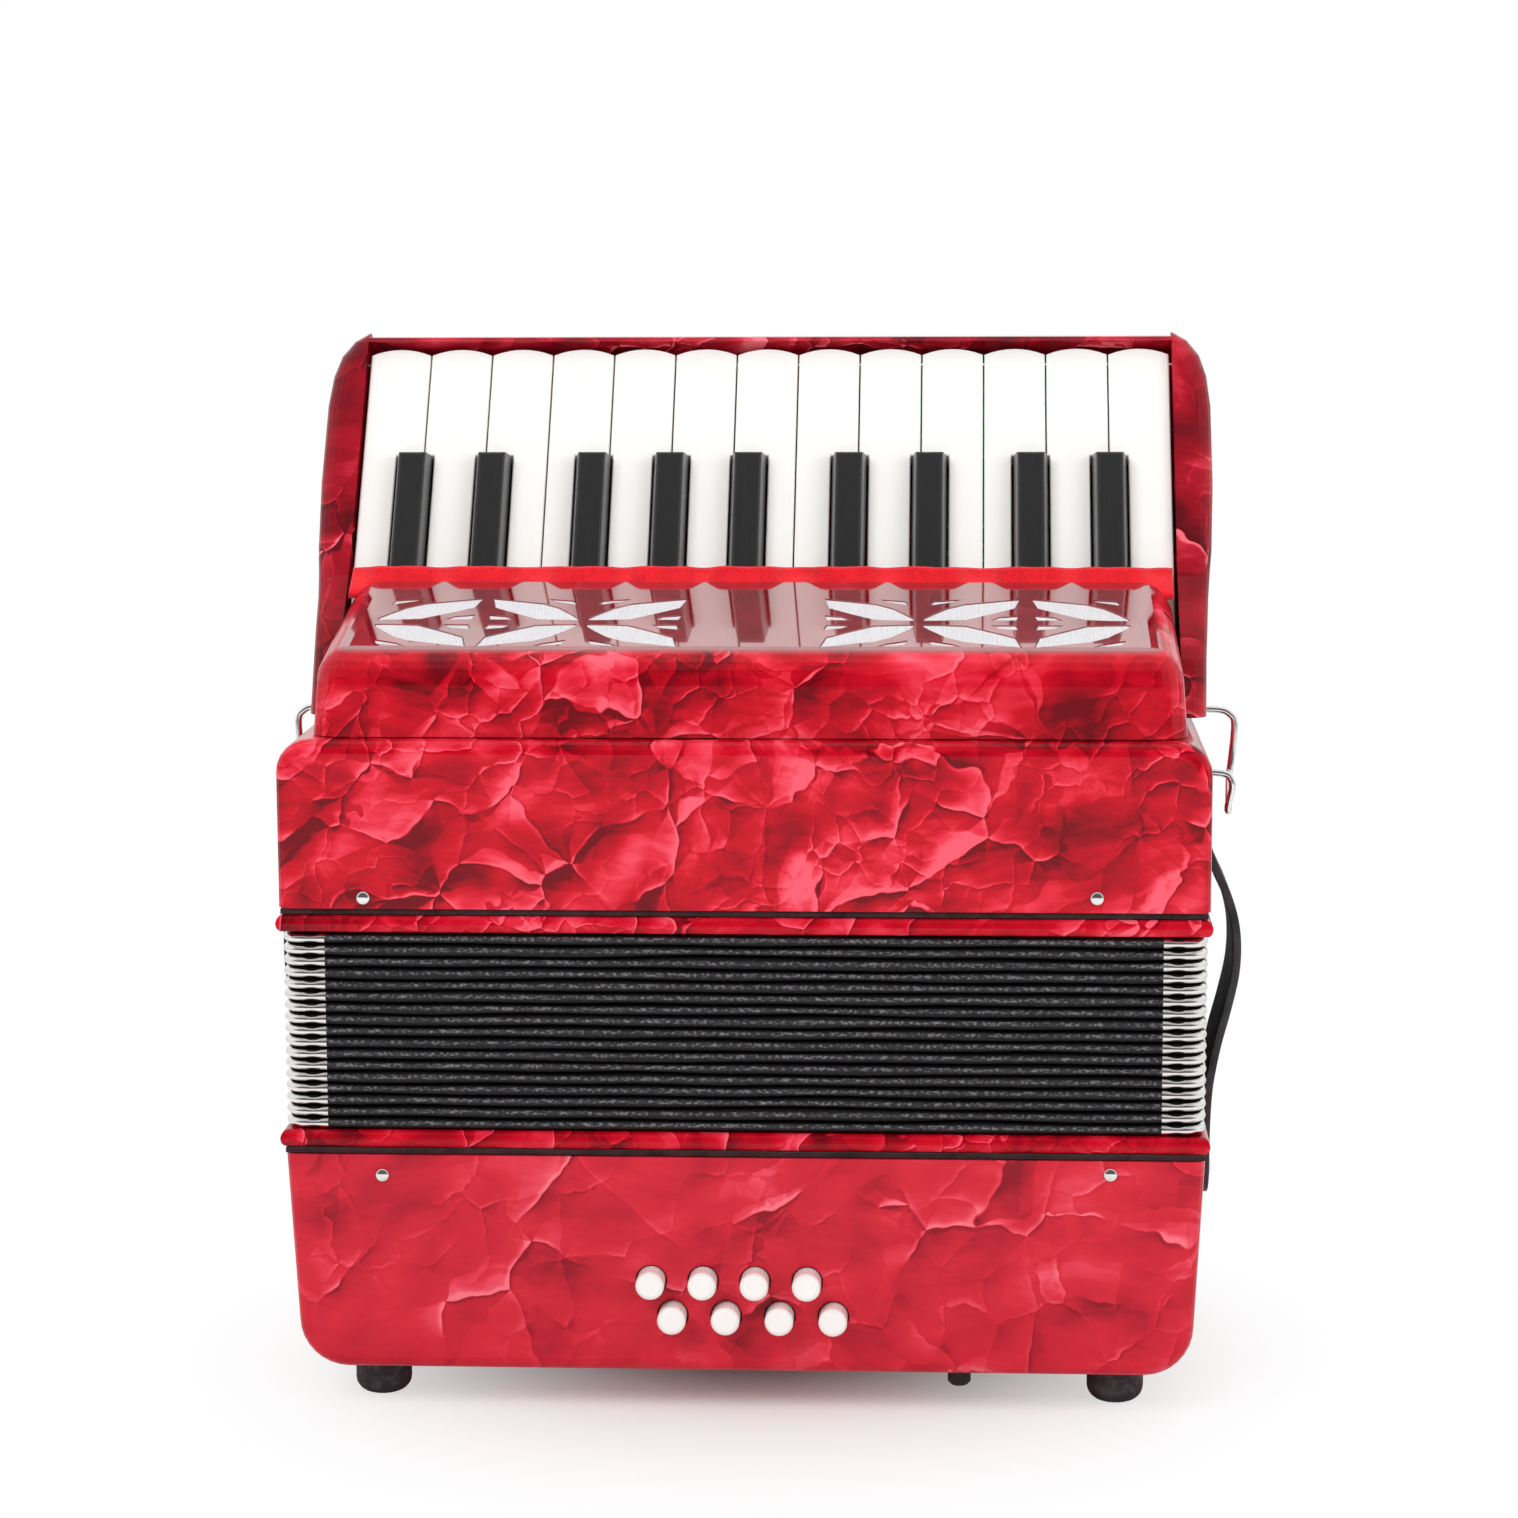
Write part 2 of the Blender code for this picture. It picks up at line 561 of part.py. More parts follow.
AXLE = on_keys(0, AXLE_D, AXLE_OFF)
PALLET_TOP = BOARD_TOP + FIT + KEY_PALLET_T


def lever(bm, x, width):
    """Tail of a key: boss round the axle, arm and pallet, as a profile in YZ extruded along X."""
    arm = 4.5 * MM
    boss = 5 * MM
    top = on_keys(0, AXLE_D + boss + 2 * MM, -1 * MM)
    back = on_keys(0, AXLE_D + boss + 2 * MM, AXLE_OFF - boss)
    low = on_keys(0, AXLE_D - boss, AXLE_OFF - boss)
    front = on_keys(0, AXLE_D - boss, -1 * MM)
    heel = pallet_y + PALLET_L / 2
    toe = pallet_y - PALLET_L / 2
    foot = BOARD_TOP + FIT
    points = [(top.y, top.z), (back.y, back.z), (low.y, low.z), (heel + arm, PALLET_TOP), (heel, PALLET_TOP),
              (heel, foot), (toe, foot), (toe, PALLET_TOP), (heel - 2 * arm, PALLET_TOP + arm),
              (front.y, front.z)]
    prism(bm, [(x - width / 2, y, z) for y, z in points], (width, 0, 0))


def axle_bore(name, x, width):
    bm = bmesh.new()
    rod(bm, (x - width, AXLE.y, AXLE.z), (x + width, AXLE.y, AXLE.z), AXLE_R + AXLE_CLEAR, 20)
    return cutter(name + "_bore", bm)


def hinge_at_axle(obj, x):
    shift = Vector((x, AXLE.y, AXLE.z))
    obj.data.transform(Matrix.Translation(-shift))
    obj.location = shift


# White keys: a top plate notched for the black keys, rounded at its free end
for number, (x0, x1, t0, t1) in enumerate(WHITES, 1):
    name = f"white_key_{number:02d}"
    notch = BLACK_LEN + KEY_GAP
    tail = -KEY_TAIL
    end = [(x1 - (x1 - x0) * i / 8, WHITE_LEN + WHITE_ARC * (1 - (2 * i / 8 - 1) ** 2)) for i in range(9)]
    plan = [(t0, tail), (t1, tail)]
    plan += [(t1, notch), (x1, notch)] if t1 < x1 - 1e-6 else []
    plan += end
    plan += [(x0, notch), (t0, notch)] if t0 > x0 + 1e-6 else []
    bm = bmesh.new()
    prism(bm, [on_keys(x, d, 0) for x, d in plan], KEY_UP * -WHITE_T)
    edges = [e for e in bm.edges if all(abs((v.co - on_keys(0, 0, 0)).dot(KEY_UP)) < 1e-6 for v in e.verts)]
    bmesh.ops.bevel(bm, geom=edges, offset=0.5 * MM, offset_type="OFFSET", segments=2, profile=0.5,
                    affect="EDGES", material=-1, clamp_overlap=True)
    key = put(name, bm, ((0.9, 0.89, 0.86), 0.2))
    x = WHITE_LEVERS[number - 1]
    bm = bmesh.new()
    lever(bm, x, LEVER_W)
    arm = cutter(name + "_lever", bm)
    bore = axle_bore(name, x, KEY_PITCH)
    for piece in (key, arm, bore):
        hinge_at_axle(piece, x)
    boolean(key, arm, "UNION")
    boolean(key, bore)

# Black keys: a tapering block with a sloping free end
for number, x in enumerate(BLACK_X, 1):
    name = f"black_key_{number:02d}"
    bm = bmesh.new()
    base = BLACK_BASE / 2
    high = BLACK_TOP / 2
    tail = -KEY_TAIL
    floor = -WHITE_T
    sections = [(tail, base, floor), (tail, base, 0), (tail, high, BLACK_H),
                (BLACK_LEN - BLACK_SLOPE, high, BLACK_H), (BLACK_LEN, base, 0), (BLACK_LEN, base, floor)]
    pairs = []
    for along, half, up in sections:
        pairs.append((bm.verts.new(on_keys(x - half, along, up)), bm.verts.new(on_keys(x + half, along, up))))
    for i in range(6):
        a = pairs[i]
        b = pairs[(i + 1) % 6]
        bm.faces.new((a[0], a[1], b[1], b[0]))
    for side in (0, 1):
        ring = [p[side] for p in pairs]
        bm.faces.new((ring[0], ring[1], ring[4], ring[5]))
        bm.faces.new((ring[1], ring[2], ring[3], ring[4]))
    bmesh.ops.recalc_face_normals(bm, faces=bm.faces)
    edges = [e for e in bm.edges
             if all((v.co - on_keys(0, 0, 0)).dot(KEY_UP) > BLACK_H - 1e-6 for v in e.verts)]
    bmesh.ops.bevel(bm, geom=edges, offset=0.9 * MM, offset_type="OFFSET", segments=3, profile=0.5,
                    affect="EDGES", material=-1, clamp_overlap=True)
    key = put(name, bm, ((0.02, 0.02, 0.022), 0.25))
    bm = bmesh.new()
    lever(bm, x, LEVER_W)
    arm = cutter(name + "_lever", bm)
    bore = axle_bore(name, x, KEY_PITCH)
    for piece in (key, arm, bore):
        hinge_at_axle(piece, x)
    boolean(key, arm, "UNION")
    boolean(key, bore)

# Keyboard body: cheeks, bed, top rail and back in one piece, with the key channel cut out of it
channel_half = KEYS_HALF + CHANNEL_CLEAR
body_low = TREBLE_TOP + FIT
# Each cheek's flare beyond the outer keys in millimetres, by share of its height
CHEEK_OUT = [(8.2, 0.0), (8.8, 0.148), (10.2, 0.287), (11.8, 0.409), (12.8, 0.584), (12.8, 0.793),
             (11.8, 0.871), (9.6, 0.928), (5.6, 0.969), (1.0, 0.991), (-2.4, 1.0)]
CHEEK_STEPS = (0.078, 0.148, 0.218, 0.287, 0.348, 0.409, 0.497, 0.584, 0.688, 0.793, 0.871, 0.906, 0.928,
               0.95, 0.969, 0.981, 0.991, 1.0)


def cheek_half(z):
    """Half width of the keyboard body at a height."""
    table = [(KEYS_HALF + x * MM, TREBLE_TOP + share * (CHEEK_TOP - TREBLE_TOP)) for x, share in CHEEK_OUT]
    for (x0, h0), (x1, h1) in zip(table, table[1:]):
        if z <= h1:
            return x0 + (x1 - x0) * max(z - h0, 0) / (h1 - h0)
    return table[-1][0]


def rounded_section(half, y0, y1, radius, z):
    radius = min(radius, (y1 - y0) * 0.45)
    ring = []
    for sx, sy, start in ((1, 0, -90), (1, 1, 0), (-1, 1, 90), (-1, 0, 180)):
        cx = KEY_X + sx * (half - radius)
        cy = y1 - radius if sy else y0 + radius
        ring += [(x, y, z) for x, y in arc(cx, cy, radius, start, start + 90, 5)]
    return ring


bm = bmesh.new()
loops = []
levels = [body_low] + [TREBLE_TOP + share * (CHEEK_TOP - TREBLE_TOP) for share in CHEEK_STEPS]
for z in levels:
    line = on_keys(0, (z - KEY_Z - CHEEK_PROUD * KEY_UP.z) / KEY_DIR.z, CHEEK_PROUD).y
    over = max(z - (CHEEK_TOP - 5 * MM), 0)
    back = BACK_Y - max(z - (CHEEK_TOP - 7 * MM), 0) ** 2 / CHEEK_ROLL
    low = min(max((KEY_Z - z) / CHEEK_FALL, 0), 1)
    front = line + over ** 2 / CHEEK_ROLL - CHEEK_TOE * low * low * (3 - 2 * low)
    loops.append([bm.verts.new(p) for p in rounded_section(cheek_half(z), front, back, CHEEK_R, z)])
for a, b in zip(loops, loops[1:]):
    for i in range(len(a)):
        k = (i + 1) % len(a)
        bm.faces.new((a[i], a[k], b[k], b[i]))
bm.faces.new(loops[0][::-1])
bm.faces.new(loops[-1])
keyboard = put("keyboard_body", bm, (RED, 0.25))

bm = bmesh.new()
rail = WHITE_LEN + WHITE_ARC + RAIL_GAP
bed = -WHITE_T - KEY_TRAVEL
open_end = AXLE_D - 12 * MM
corner = [on_keys(0, rail, CHANNEL_OPEN), on_keys(0, rail, bed), on_keys(0, open_end, bed)]
low_y = on_keys(0, open_end, bed).y
ring = [(p.y, p.z) for p in corner]
ring += [(low_y, body_low - WALL), (FRONT_Y - WALL, body_low - WALL), (FRONT_Y - WALL, corner[0].z)]
prism(bm, [(KEY_X - channel_half, y, z) for y, z in ring], (2 * channel_half, 0, 0))
boolean(keyboard, cutter("key_channel", bm))
bm = bmesh.new()
box(bm, KEY_X - channel_half, KEY_X + channel_half, FRONT_Y, BACK_Y + WALL, RAIL_TOP, RAIL_TOP + 4 * WALL)
boolean(keyboard, cutter("rail_top", bm))
bm = bmesh.new()
under = bed - BED_T
roof = on_keys(0, (BACK_Y - WALL - on_keys(0, 0, under).y) / KEY_DIR.y, under)
floor_y = low_y + BED_T
ring = [(floor_y, body_low - WALL), (BACK_Y - WALL, body_low - WALL), (BACK_Y - WALL, roof.z),
        (floor_y, on_keys(0, (floor_y - on_keys(0, 0, under).y) / KEY_DIR.y, under).z)]
prism(bm, [(KEY_X - channel_half, y, z) for y, z in ring], (2 * channel_half, 0, 0))
boolean(keyboard, cutter("keyboard_hollow", bm))
bm = bmesh.new()
reach = channel_half + AXLE_BITE + FIT
rod(bm, (KEY_X - reach, AXLE.y, AXLE.z), (KEY_X + reach, AXLE.y, AXLE.z), AXLE_R + AXLE_CLEAR, 20)
boolean(keyboard, cutter("axle_seats", bm))

bm = bmesh.new()
reach = channel_half + AXLE_BITE
rod(bm, (KEY_X - reach, AXLE.y, AXLE.z), (KEY_X + reach, AXLE.y, AXLE.z), AXLE_R, 20)
put("key_axle", bm, (STEEL, 0.3, 1.0))


def seat_z(y, shrink):
    """Height of the cover's seat at a depth, on its outside or at a shrink inside it."""
    y0 = FRONT_Y + COVER_IN_Y + shrink
    y1 = COVER_BACK_Y
    start = y0 + COVER_DRAFT / 2
    return COVER_FRONT_Z - shrink + math.tan(COVER_SLOPE) * (y1 - y0) * (y - start) / (y1 - start)


# Grille cover: a rounded shell with a sloping seat, cut off in front of the black keys
def cover_block(bm, shrink):
    y0 = FRONT_Y + COVER_IN_Y + shrink
    y1 = COVER_BACK_Y
    z0 = TREBLE_TOP + FIT - (0.0 if shrink == 0 else WALL)
    half = COVER_HALF - shrink
    top = half - COVER_DRAFT
    zf = COVER_FRONT_Z - shrink
    zb = seat_z(y1, shrink)
    low = [(-half, y0), (half, y0), (half, y1), (-half, y1)]
    high = [(-top, y0 + COVER_DRAFT / 2, zf), (top, y0 + COVER_DRAFT / 2, zf), (top, y1, zb), (-top, y1, zb)]
    a = [bm.verts.new((COVER_X + x, y, z0)) for x, y in low]
    b = [bm.verts.new((COVER_X + x, y, z)) for x, y, z in high]
    bm.faces.new(a[::-1])
    bm.faces.new(b)
    for i in range(4):
        j = (i + 1) % 4
        bm.faces.new((a[i], a[j], b[j], b[i]))
    bmesh.ops.recalc_face_normals(bm, faces=bm.faces)
    front_corners = set(a[:2] + b[:2])
    edges = []
    for e in bm.edges:
        rim = all(v in b for v in e.verts) and not all(abs(v.co.y - y1) < 1e-6 for v in e.verts)
        upright = front_corners.issuperset(e.verts) and len(set(e.verts) & set(b)) == 1
        if rim or upright:
            edges.append(e)
    bmesh.ops.bevel(bm, geom=edges, offset=COVER_R - shrink, offset_type="OFFSET", segments=6, profile=0.5,
                    affect="EDGES", material=-1, clamp_overlap=True)


bm = bmesh.new()
cover_block(bm, 0.0)
cover = put("grille_cover", bm, (RED, 0.12))
bm = bmesh.new()
cover_block(bm, COVER_T)
boolean(cover, cutter("cover_room", bm))
bm = bmesh.new()
far = WHITE_LEN + DEPTH
ring = [on_keys(0, -far, COVER_BACK_OFF), on_keys(0, far, COVER_BACK_OFF), on_keys(0, far, -far),
        on_keys(0, -far, -far)]
prism(bm, [(-2 * COVER_HALF, p.y, p.z) for p in ring], (4 * COVER_HALF, 0, 0))
boolean(cover, cutter("cover_back", bm))

# Six ornaments of leaf-shaped cut-outs in the seat: u runs from the narrow side, v from front to back
WING = [(0.0, 0.08), (0.0, 0.16), (0.10, 0.36), (0.24, 0.60), (0.42, 0.78), (0.68, 0.88), (1.0, 1.0),
        (0.94, 0.60), (0.70, 0.36), (0.44, 0.12), (0.20, 0.09)]
FINGER = [(0.68, 0.10), (0.78, 0.24), (0.98, 0.30), (0.95, 0.10)]
SLOT = [(0.06, 0.72), (0.10, 0.90), (0.40, 0.98), (0.30, 0.86)]
UNITS = [(-112.9, -82.9, 1), (-80.0, -51.6, -1), (-48.6, -19.7, 1),
         (22.5, 50.4, -1), (53.0, 82.5, 1), (86.0, 115.1, -1)]
ORNAMENT_Y = (15.4 * MM, 62.6 * MM)
bm = bmesh.new()
mid = FRONT_Y + (ORNAMENT_Y[0] + ORNAMENT_Y[1]) / 2
span = (ORNAMENT_Y[1] - ORNAMENT_Y[0]) / 2
for x0, x1, way in UNITS:
    for shape in (WING, FINGER, SLOT):
        for flip in (1, -1):
            points = []
            for u, v in shape:
                u = u if way > 0 else 1 - u
                points.append(((x0 + (x1 - x0) * u) * MM, mid + span * v * flip, COVER_FRONT_Z - 12 * MM))
            prism(bm, points, (0, 0, 40 * MM))
boolean(cover, cutter("ornament", bm))

# Cloth behind the cut-outs
bm = bmesh.new()
cloth_y0 = FRONT_Y + ORNAMENT_Y[0] - 1 * MM
cloth_y1 = FRONT_Y + ORNAMENT_Y[1] + 4 * MM
corners = [(y, seat_z(y, COVER_T) - FIT - CLOTH_T) for y in (cloth_y0, cloth_y1)]
cloth_half = COVER_HALF - COVER_DRAFT - COVER_R - 2 * MM
ring = corners + [(y, z + CLOTH_T) for y, z in reversed(corners)]
prism(bm, [(COVER_X - cloth_half, y, z) for y, z in ring], (2 * cloth_half, 0, 0))
put("grille_cloth", bm, ((0.8, 0.8, 0.82), 0.8), smooth=False)

# Dust felt: a strip that rests on the cover's back edge and is draped over the keys
bm = bmesh.new()
felt_steps = 78
felt_half = KEYS_HALF - 1 * MM
near = []
for i in range(felt_steps + 1):
    x = KEY_X - felt_half + 2 * felt_half * i / felt_steps
    lean = 0.0
    for bx in BLACK_X:
        past = max(abs(x - bx) - BLACK_BASE / 2 - FELT_SIDE, 0)
        lean = max(lean, math.exp(-past ** 2 / (2 * FELT_FALL ** 2)))
    rim = COVER_BACK_OFF - FELT_T - FIT
    rest = FELT_DIP + (rim - FELT_DIP) * lean
    d0 = FELT_LOW
    d1 = FELT_HIGH + lean * 0.7 * MM
    half_way = (d0 + d1) / 2
    near.append([on_keys(x, d0, rim), on_keys(x, half_way, rim * 0.5 + rest * 0.5), on_keys(x, d1, rest),
                 on_keys(x, d1 + 0.4 * MM, rest + FELT_T),
                 on_keys(x, half_way, rim * 0.5 + rest * 0.5 + FELT_T),
                 on_keys(x, d0, rim + FELT_T)])
loops = [[bm.verts.new(p) for p in ring] for ring in near]
for a, b in zip(loops, loops[1:]):
    for j in range(6):
        k = (j + 1) % 6
        bm.faces.new((a[j], a[k], b[k], b[j]))
for ring in (loops[0], loops[-1]):
    bm.faces.new((ring[0], ring[1], ring[4], ring[5]))
    bm.faces.new((ring[1], ring[2], ring[3], ring[4]))
put("dust_felt", bm, ((0.85, 0.02, 0.03), 0.9))

# Wire strap brackets on both ends of the treble case
# Bends of the wire in millimetres: out from the case's side, in from its back and up from its lower rim
WIRE = [(0.0, 22.0, 43.0), (9.2, 22.0, 42.8), (12.8, 22.0, 41.4), (14.4, 22.0, 38.0), (13.4, 23.0, 25.8),
        (12.6, 26.0, 21.6), (11.2, 46.0, 14.2), (10.8, 49.0, 15.6), (12.0, 50.0, 21.4), (11.4, 50.0, 24.6),
        (9.0, 50.0, 26.2), (0.0, 50.0, 26.8)]
wire_x = TREBLE_HALF + WIRE_STAND
for name, side in (("strap_bracket_right", 1), ("strap_bracket_left", -1)):
    points = [Vector((side * (wire_x + x * MM), BACK_Y - y * MM, TREBLE_Z + z * MM)) for x, y, z in WIRE]
    bm = bmesh.new()
    rings = []
    up = Vector((0, 1, 0))
    for i, p in enumerate(points):
        ahead = (points[min(i + 1, len(points) - 1)] - points[max(i - 1, 0)]).normalized()
        across = ahead.cross(up).normalized()
        if rings:
            flat = last - ahead * last.dot(ahead)
            across = flat.normalized()
        last = across
        other = ahead.cross(across)
        rings.append([bm.verts.new(p + (across * math.cos(t) + other * math.sin(t)) * WIRE_R)
                      for t in [math.tau * k / 12 for k in range(12)]])
    for a, b in zip(rings, rings[1:]):
        for j in range(12):
            k = (j + 1) % 12
            bm.faces.new((a[j], a[k], b[k], b[j]))
    bm.faces.new(rings[0])
    bm.faces.new(rings[-1][::-1])
    put(name, bm, (STEEL, 0.15, 1.0))

# Bellows straps, hinged where they leave the treble case, and the studs that hold their lower ends
# Strap line: slack as a share of the fullest bulge, and height as a share of the way from stud to treble case
STRAP_LOOP = [(0.0, 1.225), (0.0, 1.141), (0.088, 1.088), (0.363, 1.015), (0.676, 0.941), (0.912, 0.857),
              (1.0, 0.773), (0.951, 0.673), (0.716, 0.555), (0.461, 0.45), (0.284, 0.355), (0.186, 0.277),
              (0.137, 0.174), (0.127, 0.068), (0.127, -0.079)]
STRAP_END = 1.3 * MM
HINGE_DROP = 0.5 * MM
strap_x = TREBLE_HALF + STRAP_STAND
strap_rise = TREBLE_Z - STUD_Z
strap_y = FRONT_Y + STRAP_IN_Y
hinge_x = strap_x + STRAP_T / 2
hinge_z = STUD_Z + STRAP_LOOP[0][1] * strap_rise - HINGE_DROP
for name, side, slack in (("bellows_strap_right", 1, STRAP_SLACK), ("bellows_strap_left", -1, LEFT_SLACK)):
    bm = bmesh.new()
    path = []
    for bulge, share in STRAP_LOOP:
        out = bulge * slack if share > 0.3 else max(bulge * slack, STRAP_END)
        path.append((strap_x + out, STUD_Z + share * strap_rise))
    band(bm, path, STRAP_W / 2, STRAP_T, strap_y)
    if side < 0:
        bmesh.ops.scale(bm, vec=(-1, 1, 1), verts=bm.verts)
    strap = put(name, bm, (LEATHER, 0.5))
    shift = Vector((side * hinge_x, strap_y, hinge_z))
    strap.data.transform(Matrix.Translation(-shift))
    strap.location = shift
for name, side in (("strap_stud_right", 1), ("strap_stud_left", -1)):
    bm = bmesh.new()
    wall_x = BASS_HALF_LOW + slope * (STUD_Z - BASS_BOTTOM) + FIT
    reach = strap_x + STRAP_END - FIT - wall_x
    profile = [(0, 0), (STUD_R, 0), (STUD_R, reach - 0.6 * MM), (STUD_R - 0.6 * MM, reach), (0, reach)]
    lathe(bm, profile, (side * wall_x, strap_y, STUD_Z), (side, 0, 0), 24)
    put(name, bm, (STEEL, 0.2, 1.0))
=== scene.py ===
"""Looks of a small piano accordion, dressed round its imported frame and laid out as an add-on."""

import math

import bmesh
import bpy
from mathutils import Matrix, Vector, noise


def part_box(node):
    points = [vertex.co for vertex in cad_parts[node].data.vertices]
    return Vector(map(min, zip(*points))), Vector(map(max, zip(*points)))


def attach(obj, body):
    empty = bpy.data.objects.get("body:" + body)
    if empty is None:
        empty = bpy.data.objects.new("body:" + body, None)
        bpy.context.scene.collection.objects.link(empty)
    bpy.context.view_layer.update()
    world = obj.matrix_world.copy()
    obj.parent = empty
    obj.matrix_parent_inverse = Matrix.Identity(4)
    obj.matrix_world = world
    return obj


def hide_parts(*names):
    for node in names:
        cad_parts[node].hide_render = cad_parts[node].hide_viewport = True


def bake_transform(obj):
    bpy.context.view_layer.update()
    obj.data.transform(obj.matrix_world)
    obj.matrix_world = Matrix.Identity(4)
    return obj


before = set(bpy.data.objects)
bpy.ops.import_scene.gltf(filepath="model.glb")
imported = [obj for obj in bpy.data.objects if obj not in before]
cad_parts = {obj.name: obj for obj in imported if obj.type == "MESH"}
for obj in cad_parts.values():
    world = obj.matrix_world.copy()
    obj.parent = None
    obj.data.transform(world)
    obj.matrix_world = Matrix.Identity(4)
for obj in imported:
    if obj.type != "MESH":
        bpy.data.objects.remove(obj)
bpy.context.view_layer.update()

bl_info = {
    "name": "Piano accordion looks",
    "version": (1, 0, 0),
    "blender": (4, 5, 0),
    "location": "View3D > Sidebar > Accordion",
    "description": "Dresses a small piano accordion in pearl, chrome, leather and felt",
    "category": "Object",
}

# Lengths in metres, in the frame's own axes: X along the keyboard, -Y to the audience, Z up
MM = 0.001
TREBLE_LOW, TREBLE_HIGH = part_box("treble_case")
BELLOWS_LOW, BELLOWS_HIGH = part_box("bellows")
CLOTH_LOW, CLOTH_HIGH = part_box("grille_cloth")
STRAP_LOW, STRAP_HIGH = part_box("bellows_strap_right")
HAND_LOW, HAND_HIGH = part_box("hand_strap")
KEY_LINE = Vector((1.4 * MM, 21.2 * MM, 246 * MM))
LEAN = math.radians(35)
KEY_DIR = Vector((0, math.sin(LEAN), math.cos(LEAN)))
KEY_UP = Vector((0, -math.cos(LEAN), math.sin(LEAN)))
SEAT_START = (-64.5 * MM, 229.6 * MM)
SEAT_SLOPE = 0.1964
WHITE_KEYS = [f"white_key_{i:02d}" for i in range(1, 14)]
BLACK_KEYS = [f"black_key_{i:02d}" for i in range(1, 10)]
BUTTONS = [f"bass_button_{i}" for i in range(1, 9)]
FEET = [f"foot_{i}" for i in range(1, 5)]
SIDES = (("right", 1), ("left", -1))


def tone(red, green, blue):
    """A colour as Blender's shaders read it, from its 0 to 255 screen values."""
    linear = []
    for part in (red, green, blue):
        share = part / 255
        linear.append(share / 12.92 if share <= 0.04045 else ((share + 0.055) / 1.055) ** 2.4)
    return tuple(linear)


class Value:
    """A number in a node tree, on which Python's operators add Math nodes."""

    def __init__(self, nodes, socket):
        self.nodes = nodes
        self.socket = socket

    def math(self, operation, first, second=0.0):
        return self.nodes.node("ShaderNodeMath", {"operation": operation}, {0: first, 1: second})

    def __add__(self, other):
        return self.math("ADD", self, other)

    __radd__ = __add__

    def __sub__(self, other):
        return self.math("SUBTRACT", self, other)

    def __rsub__(self, other):
        return self.math("SUBTRACT", other, self)

    def __mul__(self, other):
        return self.math("MULTIPLY", self, other)

    __rmul__ = __mul__

    def most(self, other):
        """The larger of two values."""
        return self.math("MAXIMUM", self, other)

    def rise(self, low, high):
        """0 below low, 1 above high and a smooth step between."""
        sockets = {"Value": self, "From Min": low, "From Max": high}
        return self.nodes.node("ShaderNodeMapRange", {"interpolation_type": "SMOOTHSTEP"}, sockets)


class Nodes:
    """A node tree, to which nodes are added with their settings and inputs."""

    def __init__(self, tree):
        self.tree = tree

    def feed(self, socket, value):
        """Links a value to a socket, or sets the socket to a plain number or colour."""
        if isinstance(value, Value):
            self.tree.links.new(value.socket, socket)
        elif isinstance(value, tuple) and socket.type == "RGBA" and len(value) == 3:
            socket.default_value = (*value, 1.0)
        else:
            socket.default_value = value

    def node(self, kind, settings=None, sockets=None, out=0):
        """Adds a node with its settings and inputs and returns one of its outputs."""
        made = self.tree.nodes.new(kind)
        for label, value in (settings or {}).items():
            if label == "stops":
                self.stops(made.color_ramp, value)
            else:
                setattr(made, label, value)
        for label, value in (sockets or {}).items():
            self.feed(made.inputs[label], value)
        return Value(self, made.outputs[out])

    def stops(self, ramp, stops):
        while len(ramp.elements) < len(stops):
            ramp.elements.new(0.5)
        for element, (place, colour) in zip(ramp.elements, stops):
            element.position = place
            element.color = (*colour, 1.0)

    def coords(self, stretch=(1, 1, 1)):
        """The object's own coordinates, stretched along its axes."""
        place = self.node("ShaderNodeTexCoord", out="Object")
        if stretch == (1, 1, 1):
            return place
        return self.node("ShaderNodeMapping", None, {"Vector": place, "Scale": stretch})

    def part(self, place, axis):
        return self.node("ShaderNodeSeparateXYZ", None, {0: place}, axis)

    def vector(self, operation, first, second):
        return self.node("ShaderNodeVectorMath", {"operation": operation}, {0: first, 1: second}, "Vector")

    def noise(self, place, scale, detail=3.0, out="Fac"):
        sockets = {"Vector": place, "Scale": scale, "Detail": detail}
        return self.node("ShaderNodeTexNoise", None, sockets, out)

    def cells(self, place, scale, feature):
        sockets = {"Vector": place, "Scale": scale}
        return self.node("ShaderNodeTexVoronoi", {"feature": feature}, sockets, "Distance")

    def blend(self, share, first, second):
        return self.node("ShaderNodeMix", {"data_type": "RGBA"}, {0: share, 6: first, 7: second}, 2)


class Finish(Nodes):
    """One material: a Principled shader and the nodes that feed it."""

    def __init__(self, name, **plain):
        self.mat = bpy.data.materials.new(name)
        self.mat.use_nodes = True
        super().__init__(self.mat.node_tree)
        self.shader = self.tree.nodes["Principled BSDF"]
        for label, value in plain.items():
            self.give(label.replace("_", " "), value)

    def give(self, label, value):
        self.feed(self.shader.inputs[label], value)

    def bump(self, height, depth, strength=1.0):
        sockets = {"Height": height, "Distance": depth, "Strength": strength}
        self.give("Normal", self.node("ShaderNodeBump", None, sockets))


# Steps towards the light by which the pearl's painted shade and highlight find its slopes: short over folds,
# longer for the painted sheen
LIGHT_STEP = Vector((-0.45, -0.5, 0.74)) * 0.4 * MM
SHEEN_STEP = 6 * LIGHT_STEP
# Scale of the noise that gives the pearl's cloudy tone and, from its slope towards the light, the painted
# sheen; and the sheen's strength
CLOUD_AND_SHEEN_SCALE = 36.0
SHEEN_GAIN = 4.2
# Warps of the sheet: their noise's scale and how far they shift it
BEND = (15.0, 22 * MM)
CURL = (75.0, 7 * MM)
CRIMP = (110.0, 6 * MM)
SMALL_FOLDS = 2.3
# Bands of painted highlight on a fold's lit side and painted shade on its dark side: how far they reach, as a
# share of a cell, and their strength
BROAD_BAND = (0.6, 0.1)
SHARP_BAND = (0.28, 0.27)
CREASE = (0.05, 0.42)
SMALL_BAND = (0.4, 0.15)
SMALL_CREASE = (0.09, 0.3)
